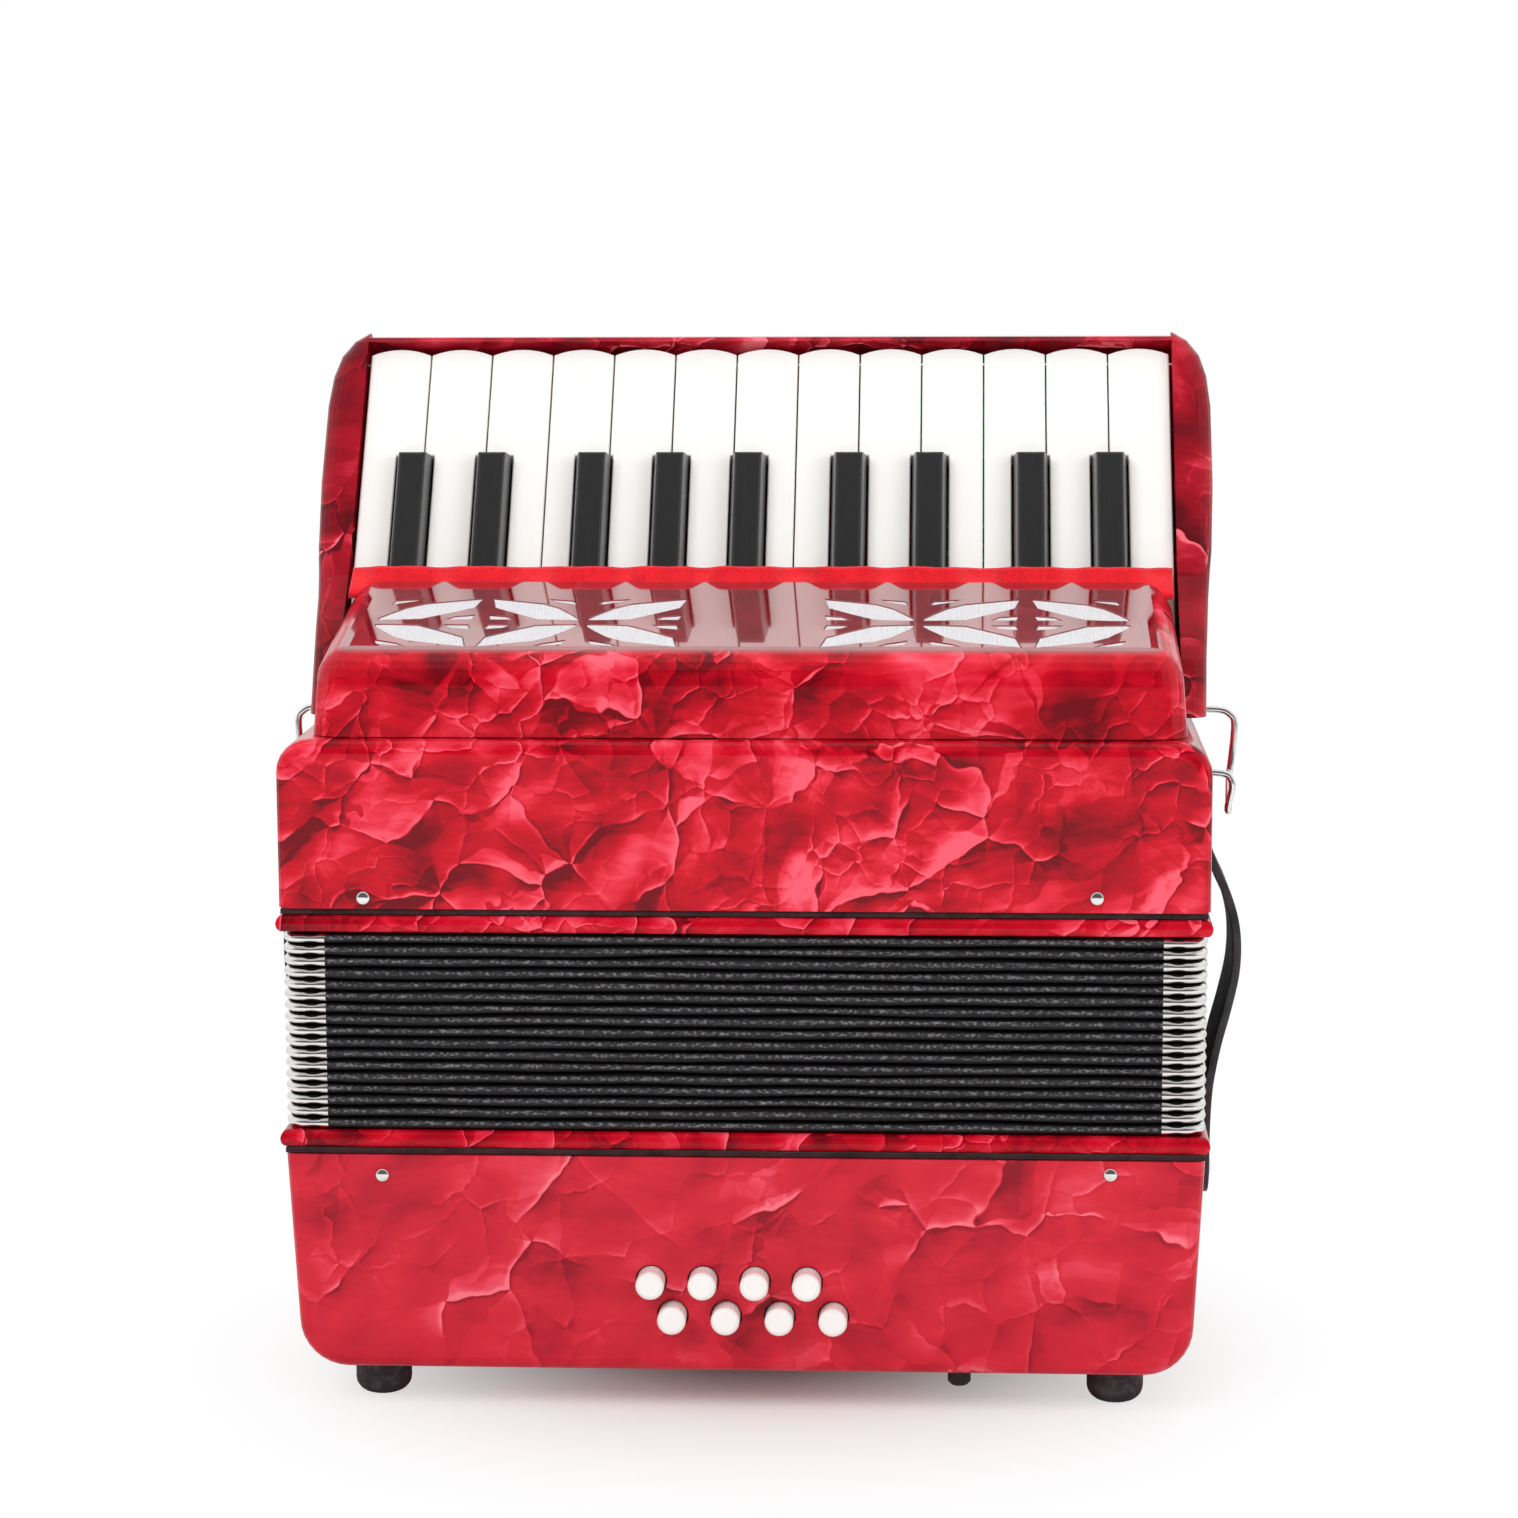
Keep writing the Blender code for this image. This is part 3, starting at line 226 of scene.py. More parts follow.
# Noises that fade the folds' painted shade and highlight in and out, with the levels between which they do so
FOLD_FADE_SCALE = 42.0
FOLD_FADE_IN = (0.42, 0.58)
FOLD_FADE_OUT = (0.56, 0.42)
BUSY_SCALE = 26.0
BUSY_IN = (0.34, 0.6)
# Silk drawn out sideways, and how strongly cloud and silk show about the middle shade
SILK_SCALE = 110.0
SILK_STRETCH = (1.0, 1.0, 4.0)
CLOUD_GAIN = 0.3
SILK_GAIN = 0.34
MIDDLE_SHADE = 0.44


def folds(finish, place, scale):
    """How steeply a crumpled sheet leans to the light beside its nearest fold, and how far that fold is."""
    ahead = finish.vector("ADD", place, tuple(LIGHT_STEP))
    near = finish.cells(place, scale, "DISTANCE_TO_EDGE")
    next_near = finish.cells(ahead, scale, "DISTANCE_TO_EDGE")
    return (next_near - near) * (1.0 / (LIGHT_STEP.length * scale)), near


def warped(finish, place, scale, reach):
    """Places shifted about by a slow noise."""
    drift = finish.vector("SUBTRACT", finish.noise(place, scale, 2.0, "Color"), (0.5, 0.5, 0.5))
    return finish.vector("ADD", place, finish.vector("MULTIPLY", drift, (reach, reach, reach)))


def beside(near, band):
    """A band that fades out from a fold."""
    reach, strength = band
    return near.rise(reach, 0.0) * strength


def pearl(name, stops, patch, life):
    """Pearl celluloid: a crumpled, silky sheet, with painted highlight on the lit side and painted shade on
    the dark side of each fold, and a painted sheen.
    """
    finish = Finish(name, Roughness=0.14, Coat_Weight=0.12, Coat_Roughness=0.03, Specular_IOR_Level=0.12)
    place = finish.coords()
    bent = warped(finish, place, *BEND)
    curled = warped(finish, bent, *CURL)
    slope, near = folds(finish, curled, patch)
    small_slope, small_near = folds(finish, warped(finish, bent, *CRIMP), patch * SMALL_FOLDS)
    fold_fade = finish.noise(bent, FOLD_FADE_SCALE, 2.0)
    busy = finish.noise(place, BUSY_SCALE, 1.0).rise(*BUSY_IN)
    cloud = finish.noise(curled, CLOUD_AND_SHEEN_SCALE, 1.0)
    beyond = finish.noise(finish.vector("ADD", curled, tuple(SHEEN_STEP)), CLOUD_AND_SHEEN_SCALE, 1.0)
    painted_sheen = (beyond - cloud) * SHEEN_GAIN
    silk = finish.noise(finish.vector("MULTIPLY", curled, SILK_STRETCH), SILK_SCALE, 3.0)
    sharp = (beside(near, SHARP_BAND) + beside(near, CREASE)) * fold_fade.rise(*FOLD_FADE_IN)
    fine = beside(small_near, SMALL_BAND) + beside(small_near, SMALL_CREASE) * fold_fade.rise(*FOLD_FADE_OUT)
    # Painted shade and highlight of the folds and the painted sheen, added to the pearl's own cloudy and
    # silky tone
    swing = slope * (beside(near, BROAD_BAND) + sharp) + small_slope * fine * busy
    swing = swing + painted_sheen + (cloud - 0.5) * CLOUD_GAIN + (silk - 0.5) * SILK_GAIN
    colour = finish.node("ShaderNodeValToRGB", {"stops": stops}, {0: MIDDLE_SHADE + swing * life})
    finish.give("Base Color", colour)
    return finish, place, colour


# Shades of the pearl, from the painted shade of its dark sides to its painted glints, for the cases, the bass
# end and the keyboard body
PEARL_STOPS = [
    (0.05, tone(112, 4, 18)),
    (0.32, tone(176, 6, 28)),
    (0.52, tone(202, 12, 36)),
    (0.72, tone(230, 46, 68)),
    (0.97, tone(246, 94, 112)),
]
BASS_STOPS = [
    (0.02, tone(140, 14, 32)),
    (0.32, tone(196, 28, 48)),
    (0.56, tone(213, 37, 55)),
    (0.77, tone(231, 66, 86)),
    (0.99, tone(247, 116, 131)),
]
DEEP_STOPS = [
    (0.05, tone(92, 4, 18)),
    (0.38, tone(144, 6, 26)),
    (0.60, tone(166, 12, 34)),
    (0.82, tone(206, 44, 62)),
    (0.98, tone(238, 110, 122)),
]


# Depths under the seat's plane between which the cover's pearl turns to lacquered seat
SEAT_EDGE = (-1.1 * MM, -0.1 * MM)


def seat_pearl():
    """Pearl of the grille cover, whose seat is deep red under a thick polished lacquer."""
    finish, place, colour = pearl("grille_pearl", PEARL_STOPS, 44.0, 1.25)
    run = finish.part(place, "Y") - SEAT_START[0]
    above = finish.part(place, "Z") - run * SEAT_SLOPE - SEAT_START[1]
    seat = above.rise(*SEAT_EDGE)
    finish.give("Base Color", finish.blend(seat * 0.85, colour, tone(132, 6, 24)))
    finish.give("Coat Weight", seat * 0.92 + 0.08)
    finish.give("Roughness", 0.16 - seat * 0.08)
    finish.give("Coat IOR", 2.4)
    finish.give("Coat Roughness", 0.02)
    return finish.mat


def ivory_plastic(name, colour):
    """Polished white plastic with a faint unevenness of tint and polish."""
    finish = Finish(name, Coat_Weight=0.3, Coat_Roughness=0.05)
    place = finish.coords()
    cloud = finish.noise(place, 60.0, 4.0)
    grain = finish.noise(place, 900.0, 2.0)
    finish.give("Base Color", finish.blend(cloud * 0.35, colour, tone(244, 242, 236)))
    finish.give("Roughness", 0.2 + grain * 0.08)
    finish.bump(cloud, 0.12 * MM, 0.3)
    return finish.mat


def ebony_plastic():
    """Polished near-black plastic of the raised keys."""
    finish = Finish("black_key_plastic", Coat_Weight=0.15, Coat_Roughness=0.04)
    place = finish.coords()
    streak = finish.noise(finish.vector("MULTIPLY", place, (6.0, 1.0, 1.0)), 90.0, 4.0)
    finish.give("Base Color", finish.blend(streak, tone(10, 10, 11), tone(20, 19, 22)))
    finish.give("Roughness", 0.2 + streak * 0.12)
    finish.bump(streak, 0.04 * MM, 0.2)
    return finish.mat


def chrome(name, roughness):
    """Bright plated metal with faint wiping marks."""
    finish = Finish(name, Metallic=1.0)
    place = finish.coords()
    marks = finish.noise(finish.vector("MULTIPLY", place, (1.0, 1.0, 9.0)), 160.0, 3.0)
    finish.give("Base Color", finish.blend(marks, tone(214, 212, 208), tone(240, 240, 240)))
    finish.give("Roughness", roughness + marks * 0.12)
    return finish.mat


def dark_drawn_steel():
    """Drawn steel rod in dark grey, faintly streaked along its length."""
    finish = Finish("axle_steel", Metallic=1.0)
    drawn = finish.noise(finish.coords((0.05, 1.0, 1.0)), 900.0, 3.0)
    finish.give("Base Color", finish.blend(drawn, tone(44, 43, 44), tone(78, 77, 78)))
    finish.give("Roughness", 0.4 + drawn * 0.2)
    return finish.mat


def leatherette():
    """Pebbled black bellows cloth, with a painted highlight, broken into grain specks, on each ridge's outer
    edge.
    """
    finish = Finish("bellows_leatherette", Specular_IOR_Level=0.4)
    place = finish.coords()
    ridge = finish.node("ShaderNodeAttribute", {"attribute_name": "ridge"}, None, "Fac")
    pebble = finish.cells(place, 1150.0, "SMOOTH_F1")
    grain = finish.noise(finish.vector("MULTIPLY", place, (0.6, 0.6, 1.0)), 1500.0, 3.0)
    # Painted highlight on the ridges, broken into specks by the grain
    ridge_highlight = ridge.rise(0.3, 1.0) * (grain.rise(0.46, 0.68) * 0.88 + 0.12)
    finish.give("Base Color", finish.blend(ridge_highlight, tone(10, 9, 11), tone(126, 124, 128)))
    finish.give("Roughness", 0.6 - ridge_highlight * 0.2)
    finish.bump(pebble * 0.7 + grain * 0.6, 0.5 * MM, 0.9)
    return finish.mat


def leather(name, dark, pale):
    """Grained strap leather."""
    finish = Finish(name, Specular_IOR_Level=0.45)
    place = finish.coords()
    pebble = finish.cells(place, 700.0, "SMOOTH_F1")
    cloud = finish.noise(place, 90.0, 5.0)
    finish.give("Base Color", finish.blend(cloud.rise(0.35, 0.75), dark, pale))
    finish.give("Roughness", 0.42 + cloud * 0.25)
    finish.bump(pebble + cloud * 0.5, 0.3 * MM, 0.7)
    return finish.mat


def felt_cloth(name, colour, deep):
    """Matted felt: fine fibres in every direction and a soft sheen."""
    finish = Finish(name, Roughness=0.95, Sheen_Weight=0.25, Specular_IOR_Level=0.1)
    place = finish.coords()
    fibre = finish.noise(place, 1500.0, 4.0)
    clump = finish.noise(place, 140.0, 4.0)
    finish.give("Base Color", finish.blend((fibre * 0.5 + clump * 0.5).rise(0.34, 0.6), deep, colour))
    finish.bump(fibre + clump, 0.4 * MM, 0.6)
    return finish.mat


def woven_silver(name):
    """Pale woven cloth behind the cut-outs."""
    finish = Finish(name, Sheen_Weight=0.2, Specular_IOR_Level=0.4)
    place = finish.coords()
    sockets = {"Vector": place, "Scale": 420.0}
    warp = finish.node("ShaderNodeTexWave", {"bands_direction": "X"}, sockets, "Fac")
    weft = finish.node("ShaderNodeTexWave", {"bands_direction": "Y"}, sockets, "Fac")
    cloud = finish.noise(place, 170.0, 3.0)
    thread = warp * weft
    share = thread * 0.6 + cloud * 0.4
    finish.give("Base Color", finish.blend(share, tone(224, 222, 228), tone(252, 252, 252)))
    finish.give("Roughness", 0.7 - thread * 0.2)
    finish.bump(warp + weft, 0.3 * MM, 0.7)
    return finish.mat


def rubber():
    """Moulded black rubber, dusty and matt."""
    finish = Finish("foot_rubber", Specular_IOR_Level=0.35)
    place = finish.coords()
    dust = finish.noise(place, 300.0, 5.0)
    finish.give("Base Color", finish.blend(dust.rise(0.4, 0.75), tone(46, 43, 46), tone(82, 78, 82)))
    finish.give("Roughness", 0.55 + dust * 0.25)
    finish.bump(dust, 0.3 * MM, 0.5)
    return finish.mat


def timber():
    """Planed pale wood with its grain along the instrument."""
    finish = Finish("inner_timber", Specular_IOR_Level=0.3)
    grain = finish.noise(finish.coords((0.12, 1.0, 1.0)), 180.0, 5.0)
    finish.give("Base Color", finish.blend(grain.rise(0.3, 0.7), tone(158, 118, 72), tone(214, 178, 124)))
    finish.give("Roughness", 0.5 + grain * 0.25)
    finish.bump(grain, 0.3 * MM, 0.5)
    return finish.mat


def dress(names, mat):
    """Gives CAD nodes a finish."""
    for name in names:
        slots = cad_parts[name].data.materials
        slots.clear()
        slots.append(mat)


# Vertices nearer than this are one; a dome's rim stands this share of its height
MERGE = 1e-6
DOME_RIM = 0.25


def put(name, bm, mat, body=None, smooth=40):
    """Makes a bmesh into a named piece of the object."""
    bmesh.ops.remove_doubles(bm, verts=bm.verts, dist=MERGE)
    bmesh.ops.recalc_face_normals(bm, faces=bm.faces)
    mesh = bpy.data.meshes.new(name)
    bm.to_mesh(mesh)
    bm.free()
    mesh.materials.append(mat)
    mesh.shade_smooth()
    mesh.set_sharp_from_angle(angle=math.radians(smooth))
    piece = bpy.data.objects.new(name, mesh)
    bpy.context.scene.collection.objects.link(piece)
    if body:
        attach(piece, body)
    return piece


def on_keys(x, along, up):
    """A point on the keyboard: along runs up the keys, up stands off the white surface."""
    return Vector((x, KEY_LINE.y, KEY_LINE.z)) + KEY_DIR * along + KEY_UP * up


def loop_of(bm, points):
    """A closed loop of edges through points."""
    verts = [bm.verts.new(p) for p in points]
    return [bm.edges.new((a, b)) for a, b in zip(verts, verts[1:] + verts[:1])]


def push(bm, edges, offset, steps=1):
    """Extrudes a section along a vector and returns the section at its far end."""
    for _ in range(steps):
        made = bmesh.ops.extrude_edge_only(bm, edges=edges)["geom"]
        moved = {g for g in made if isinstance(g, bmesh.types.BMVert)}
        bmesh.ops.translate(bm, verts=list(moved), vec=Vector(offset) / steps)
        edges = [g for g in made if isinstance(g, bmesh.types.BMEdge) and set(g.verts) <= moved]
    return edges


def turn(bm, edges, centre, steps=5):
    """Sweeps a section a quarter turn about an upright axis and returns it at the far end."""
    geom = edges + list({v for e in edges for v in e.verts})
    made = bmesh.ops.spin(bm, geom=geom, cent=centre, axis=(0, 0, 1), angle=math.pi / 2, steps=steps)
    return [g for g in made["geom_last"] if isinstance(g, bmesh.types.BMEdge)]


def turned(bm, profile, origin, axis, steps=32):
    """Turns (radius, height) points about an axis through origin into a solid."""
    stand = Matrix.Translation(origin) @ Vector(axis).to_track_quat("Z", "Y").to_matrix().to_4x4()
    verts = [bm.verts.new(stand @ Vector((radius, 0, height))) for radius, height in profile]
    edges = [bm.edges.new(pair) for pair in zip(verts, verts[1:])]
    whole = {"angle": math.tau, "steps": steps, "use_merge": True}
    bmesh.ops.spin(bm, geom=verts + edges, cent=origin, axis=axis, **whole)


def dome(radius, height, steps=6):
    """Profile of a low dome that stands on a flat back."""
    arc = [math.pi / 2 * i / steps for i in range(steps + 1)]
    rise = [height * (DOME_RIM + (1 - DOME_RIM) * math.sin(a)) for a in arc]
    return [(0, 0)] + [(radius * math.cos(a), z) for a, z in zip(arc, rise)]


def thicken(piece, thickness):
    """Gives a thin sheet its thickness, half of it to each side."""
    wall = piece.modifiers.new("Thickness", "SOLIDIFY")
    wall.thickness = thickness
    wall.offset = 0.0


def length(name, description, default):
    """A length that a user may change."""
    return bpy.props.FloatProperty(name=name, description=description, default=default, unit="LENGTH")


def paint(name, description, default):
    """A colour that a user may change."""
    return bpy.props.FloatVectorProperty(name=name, description=description, default=default, subtype="COLOR")


class AccordionSizes(bpy.types.PropertyGroup):
    """Sizes of the trim that the frame doesn't hold."""

    folds: bpy.props.IntProperty(name="Folds", description="Ridges on the bellows", default=17, min=4)
    fold_depth: length("Fold depth", "Depth of the slits between ridges", 5 * MM)
    corner: length("Bellows corner", "Radius of the bellows' corners", 6.2 * MM)
    clip_reach: length("Clip reach", "Length of a corner clip along each side", 13 * MM)
    clip_proud: length("Clip proud", "How far a clip stands off its ridge", 0.35 * MM)
    pin: length("Pin head", "Radius of a bellows pin's head", 2.1 * MM)
    snap: length("Snap cap", "Radius of the cap on a bellows strap", 4.2 * MM)
    wire: length("Wire", "Radius of the strap bracket's wire", 1.1 * MM)
    strap: length("Strap", "Thickness of the bellows straps and the hand strap", 2.6 * MM)
    felt: length("Felt", "Thickness of the dust felt", 1.5 * MM)


class AccordionColours(bpy.types.PropertyGroup):
    """Colours that a user would change."""

    white: paint("White keys", "Plastic of the white keys", tone(251, 250, 247))
    felt: paint("Dust felt", "Felt behind the grille", tone(240, 34, 46))
    floor: paint("Floor", "Pale floor and backdrop", (0.96, 0.96, 0.96))


class ACCORDION_OT_cases(bpy.types.Operator):
    """Dresses the cases, frames, grille cover and keyboard body in pearl"""

    bl_idname = "accordion.cases"
    bl_label = "Pearl cases"

    def execute(self, context):
        # Each finish's name, shades, folds to the metre, strength of its painted shade and highlight along
        # with its tone, and nodes
        pearls = (
            ("treble_pearl", PEARL_STOPS, 44.0, 1.3, ["treble_case"]),
            ("bass_pearl", BASS_STOPS, 27.0, 0.8, ["bass_case"]),
            ("frame_pearl", PEARL_STOPS, 60.0, 1.15, ["bass_bellows_frame", "treble_bellows_frame"]),
            ("keyboard_pearl", DEEP_STOPS, 36.0, 1.15, ["keyboard_body"]),
        )
        for name, stops, patch, life, nodes in pearls:
            dress(nodes, pearl(name, stops, patch, life)[0].mat)
        dress(["grille_cover"], seat_pearl())
        gasket = felt_cloth("gasket_felt", tone(62, 40, 42), tone(34, 22, 24))
        dress(["bass_gasket", "treble_gasket"], gasket)
        return {"FINISHED"}


class ACCORDION_OT_keys(bpy.types.Operator):
    """Finishes the keys and the bass buttons"""

    bl_idname = "accordion.keys"
    bl_label = "Keys and buttons"

    def execute(self, context):
        white = tuple(context.scene.accordion_colours.white)
        dress(WHITE_KEYS, ivory_plastic("white_key_plastic", white))
        dress(BLACK_KEYS, ebony_plastic())
        dress(BUTTONS, ivory_plastic("button_plastic", white))
        return {"FINISHED"}


class ACCORDION_OT_fittings(bpy.types.Operator):
    """Finishes the feet, the metal fittings and the wooden inside"""

    bl_idname = "accordion.fittings"
    bl_label = "Feet, metal and wood"

    def execute(self, context):
        dress(FEET + ["air_button"], rubber())
        plate = chrome("fitting_plate", 0.16)
        dress(["strap_stud_right", "strap_stud_left", "hand_strap_plate_1", "hand_strap_plate_2"], plate)
        dress(["key_axle"], dark_drawn_steel())
        inside = ["bass_valve_chest", "bass_reed_block", "treble_soundboard", "treble_reed_block"]
        dress(inside, timber())
        return {"FINISHED"}


# Bellows: how round a ridge or clip is, and its half height as a share of the pitch
RIDGE_ROUND = 1.7 * MM
RIDGE_FILL = 0.43
CLIP_ROUND = 1.9 * MM
CLIP_FILL = 0.44
RIDGE_POINTS = 9
BELLOWS_WALL = 0.8 * MM
HALF_STEPS = 30
SIDE_STEPS = 24
# Waver of the folds: its height, its noise's rate along each axis, and where it fades beside the clips
WAVER = 0.8 * MM
WAVER_X, WAVER_Y, WAVER_Z = 26, 3, 260
WAVER_EASE = 8 * MM
# Painted highlight on the ridges: how deep it goes from the outer edge, and where on a ridge's height it is
# strongest
HIGHLIGHT_DEPTH = 2.2 * MM
HIGHLIGHT_AT = 0.6
HIGHLIGHT_WIDTH = 0.2
HIGHLIGHT_LEAST = 0.2
# Corner clips: their back edge, steps along them, and the pinch in each arm
CLIP_BACK = -2.6 * MM
CLIP_STEPS = 8
CLIP_TURNS = 6
PINCH = 0.26
PINCH_AT = 0.35
PINCH_WIDTH = 0.3
# Stretch over which a clip's ride along its fold is worked out; nothing moves the clip by it
CLIP_STRETCH = 20.0


def fold_heights(folds):
    """Height of each ridge's middle, and the pitch."""
    pitch = (BELLOWS_HIGH[2] - BELLOWS_LOW[2]) / folds
    return [BELLOWS_LOW[2] + (i + 0.5) * pitch for i in range(folds)], pitch


def ridge_outline(z, half, roundness, proud=0.0):
    """Round outline of a ridge at height z as (outward, height) points."""
    swings = [math.pi * (i / (RIDGE_POINTS - 1) - 0.5) for i in range(RIDGE_POINTS)]
    return [(proud + roundness * (math.cos(s) - 1), z + half * math.sin(s)) for s in swings]


class ACCORDION_OT_bellows(bpy.types.Operator):
    """Builds the pleated bellows cloth, which stretches between the two ends"""

    bl_idname = "accordion.bellows"
    bl_label = "Bellows cloth"

    def execute(self, context):
        sizes = context.scene.accordion_sizes
        middles, pitch = fold_heights(sizes.folds)
        section = [(-sizes.fold_depth, BELLOWS_LOW[2])]
        for z in middles:
            section += ridge_outline(z, RIDGE_FILL * pitch, RIDGE_ROUND)
            section.append((-sizes.fold_depth, z + pitch / 2))
        inner = -sizes.fold_depth - BELLOWS_WALL
        section += [(inner, BELLOWS_HIGH[2]), (inner, BELLOWS_LOW[2])]
        low, high, corner = BELLOWS_LOW, BELLOWS_HIGH, sizes.corner
        bm = bmesh.new()
        wide = high[0] - corner
        edges = loop_of(bm, [(0, low[1] - out, z) for out, z in section])
        front, rear = low[1] + corner, high[1] - corner
        legs = (
            ((wide, 0, 0), HALF_STEPS, (wide, front, 0)),
            ((0, rear - front, 0), SIDE_STEPS, (wide, rear, 0)),
            ((-2 * wide, 0, 0), 2 * HALF_STEPS, (-wide, rear, 0)),
            ((0, front - rear, 0), SIDE_STEPS, (-wide, front, 0)),
        )
        for offset, steps, centre in legs:
            edges = turn(bm, push(bm, edges, offset, steps), centre)
        push(bm, edges, (wide, 0, 0), HALF_STEPS)
        for v in bm.verts:
            room = min(v.co.z - low[2], high[2] - v.co.z) / pitch
            ends = (high[0] - sizes.clip_reach - abs(v.co.x)) / WAVER_EASE
            ease = min(max(room, 0), 1) * min(max(ends, 0), 1)
            spot = Vector((v.co.x * WAVER_X, v.co.z * WAVER_Z, v.co.y * WAVER_Y))
            v.co.z += WAVER * ease * noise.noise(spot)
        cloth = put("bellows_cloth", bm, leatherette(), smooth=80)
        # Where the painted highlight lies: on each ridge's outer edge, strongest on its upper half, where
        # light from above falls
        ridge = cloth.data.attributes.new("ridge", "FLOAT", "POINT")
        for v, item in zip(cloth.data.vertices, ridge.data):
            out = max(min(high[0] - abs(v.co.x), v.co.y - low[1], high[1] - v.co.y), 0)
            phase = (v.co.z - low[2]) / pitch % 1
            upper = math.exp(-((phase - HIGHLIGHT_AT) / HIGHLIGHT_WIDTH) ** 2)
            item.value = max(1 - out / HIGHLIGHT_DEPTH, 0) * (HIGHLIGHT_LEAST + (1 - HIGHLIGHT_LEAST) * upper)
        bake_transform(cloth)
        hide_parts("bellows")
        return {"FINISHED"}


class ACCORDION_OT_clips(bpy.types.Operator):
    """Builds the bright corner clips, four to each fold"""

    bl_idname = "accordion.clips"
    bl_label = "Corner clips"

    def follow(self, clips, z, reach=CLIP_STRETCH):
        """Bakes the placing of the clips at height z into their mesh."""
        share = (z - BELLOWS_LOW[2]) / (BELLOWS_HIGH[2] - BELLOWS_LOW[2])
        start = z - share * reach
        start + reach
        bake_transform(clips)

    def execute(self, context):
        sizes = context.scene.accordion_sizes
        middles, pitch = fold_heights(sizes.folds)
        low, high, corner = BELLOWS_LOW, BELLOWS_HIGH, sizes.corner
        plate = chrome("clip_chrome", 0.12)
        wide = high[0] - corner
        straight = sizes.clip_reach - corner
        for number, z in enumerate(middles, 1):
            bm = bmesh.new()
            half = CLIP_FILL * pitch
            outline = ridge_outline(z, half, CLIP_ROUND, sizes.clip_proud)
            section = [(CLIP_BACK, z - half), *outline, (CLIP_BACK, z + half)]
            edges = loop_of(bm, [(wide - straight, low[1] - out, height) for out, height in section])
            first = list(edges)
            edges = push(bm, edges, (straight, 0, 0), CLIP_STEPS)
            edges = turn(bm, edges, (wide, low[1] + corner, 0), CLIP_TURNS)
            edges = push(bm, edges, (0, straight, 0), CLIP_STEPS)
            bmesh.ops.holes_fill(bm, edges=first + edges, sides=0)
            for v in bm.verts:
                run = max((wide - v.co.x) / straight, (v.co.y - low[1] - corner) / straight)
                pinch = PINCH * math.exp(-((min(max(run, 0), 1) - PINCH_AT) / PINCH_WIDTH) ** 2)
                v.co.z = z + (v.co.z - z) * (1 - pinch)
            middle = (low[1] + high[1]) / 2
            for plane, flip in (((0, middle, 0), (1, -1, 1)), ((0, 0, 0), (-1, 1, 1))):
                copy = bmesh.ops.duplicate(bm, geom=bm.verts[:] + bm.edges[:] + bm.faces[:])["geom"]
                verts = [g for g in copy if isinstance(g, bmesh.types.BMVert)]
                bmesh.ops.scale(bm, vec=flip, verts=verts, space=Matrix.Translation(-Vector(plane)))
            self.follow(put(f"fold_clips_{number:02d}", bm, plate), z)
        return {"FINISHED"}


# Bellows pins: their x and z on each body, the height of a head and its notch
PIN_SPOTS = {
    "treble": ((-112.4 * MM, 157.9 * MM), (104.7 * MM, 159.0 * MM)),
    "bass": ((-108.2 * MM, 73.4 * MM), (109.4 * MM, 75.6 * MM)),
}
PIN_HEIGHT = 1.3 * MM
PIN_SIDES = 28
NOTCH_HALF = 0.32 * MM
NOTCH_DEPTH = 0.7 * MM


class ACCORDION_OT_pins(bpy.types.Operator):
    """Builds the notched pins that hold the bellows frames to the cases"""

    bl_idname = "accordion.pins"
    bl_label = "Bellows pins"

    def notch(self, bm, x, way):
        """Sinks a narrow upright notch into the head at x."""
        for side in (-NOTCH_HALF, NOTCH_HALF):
            geom = bm.verts[:] + bm.edges[:] + bm.faces[:]
            bmesh.ops.bisect_plane(bm, geom=geom, dist=1e-7, plane_co=(x + side, 0, 0), plane_no=(1, 0, 0))
        inside = [f for f in bm.faces if abs(f.calc_center_median().x - x) < NOTCH_HALF]
        strip = [f for f in inside if f.normal.y * way > 0.1]
        made = bmesh.ops.extrude_face_region(bm, geom=strip)["geom"]
        sunk = [g for g in made if isinstance(g, bmesh.types.BMVert)]
        bmesh.ops.translate(bm, verts=sunk, vec=(0, -way * NOTCH_DEPTH, 0))

    def execute(self, context):
        radius = context.scene.accordion_sizes.pin
        plate = chrome("pin_chrome", 0.08)
        for body, spots in PIN_SPOTS.items():
            for face, y, way in (("front", TREBLE_LOW[1], -1), ("back", TREBLE_HIGH[1], 1)):
                bm = bmesh.new()
                for x, z in spots:
                    turned(bm, dome(radius, PIN_HEIGHT), (x, y, z), (0, way, 0), PIN_SIDES)
                for x, z in spots:
                    self.notch(bm, x, way)
                put(f"{body}_{face}_pins", bm, plate, body)
        return {"FINISHED"}


def smooth_path(points, steps):
    """Points on a smooth line through the given ones."""
    path = []
    for i in range(len(points) - 1):
        before = Vector(points[max(i - 1, 0)])
        here = Vector(points[i])
        there = Vector(points[i + 1])
        after = Vector(points[min(i + 2, len(points) - 1)])
        for k in range(steps):
            t = k / steps
            curve = (there - before) * t + (2 * before - 5 * here + 4 * there - after) * t * t
            path.append(here + 0.5 * (curve + (3 * here - before - 3 * there + after) * t ** 3))
    path.append(Vector(points[-1]))
    return path


# Leather bands: the round of their edges, steps across them, and how far a rounded end narrows
WORN_EDGE = 0.6 * MM
BAND_STEPS = 14
TIP_NARROW = 0.9


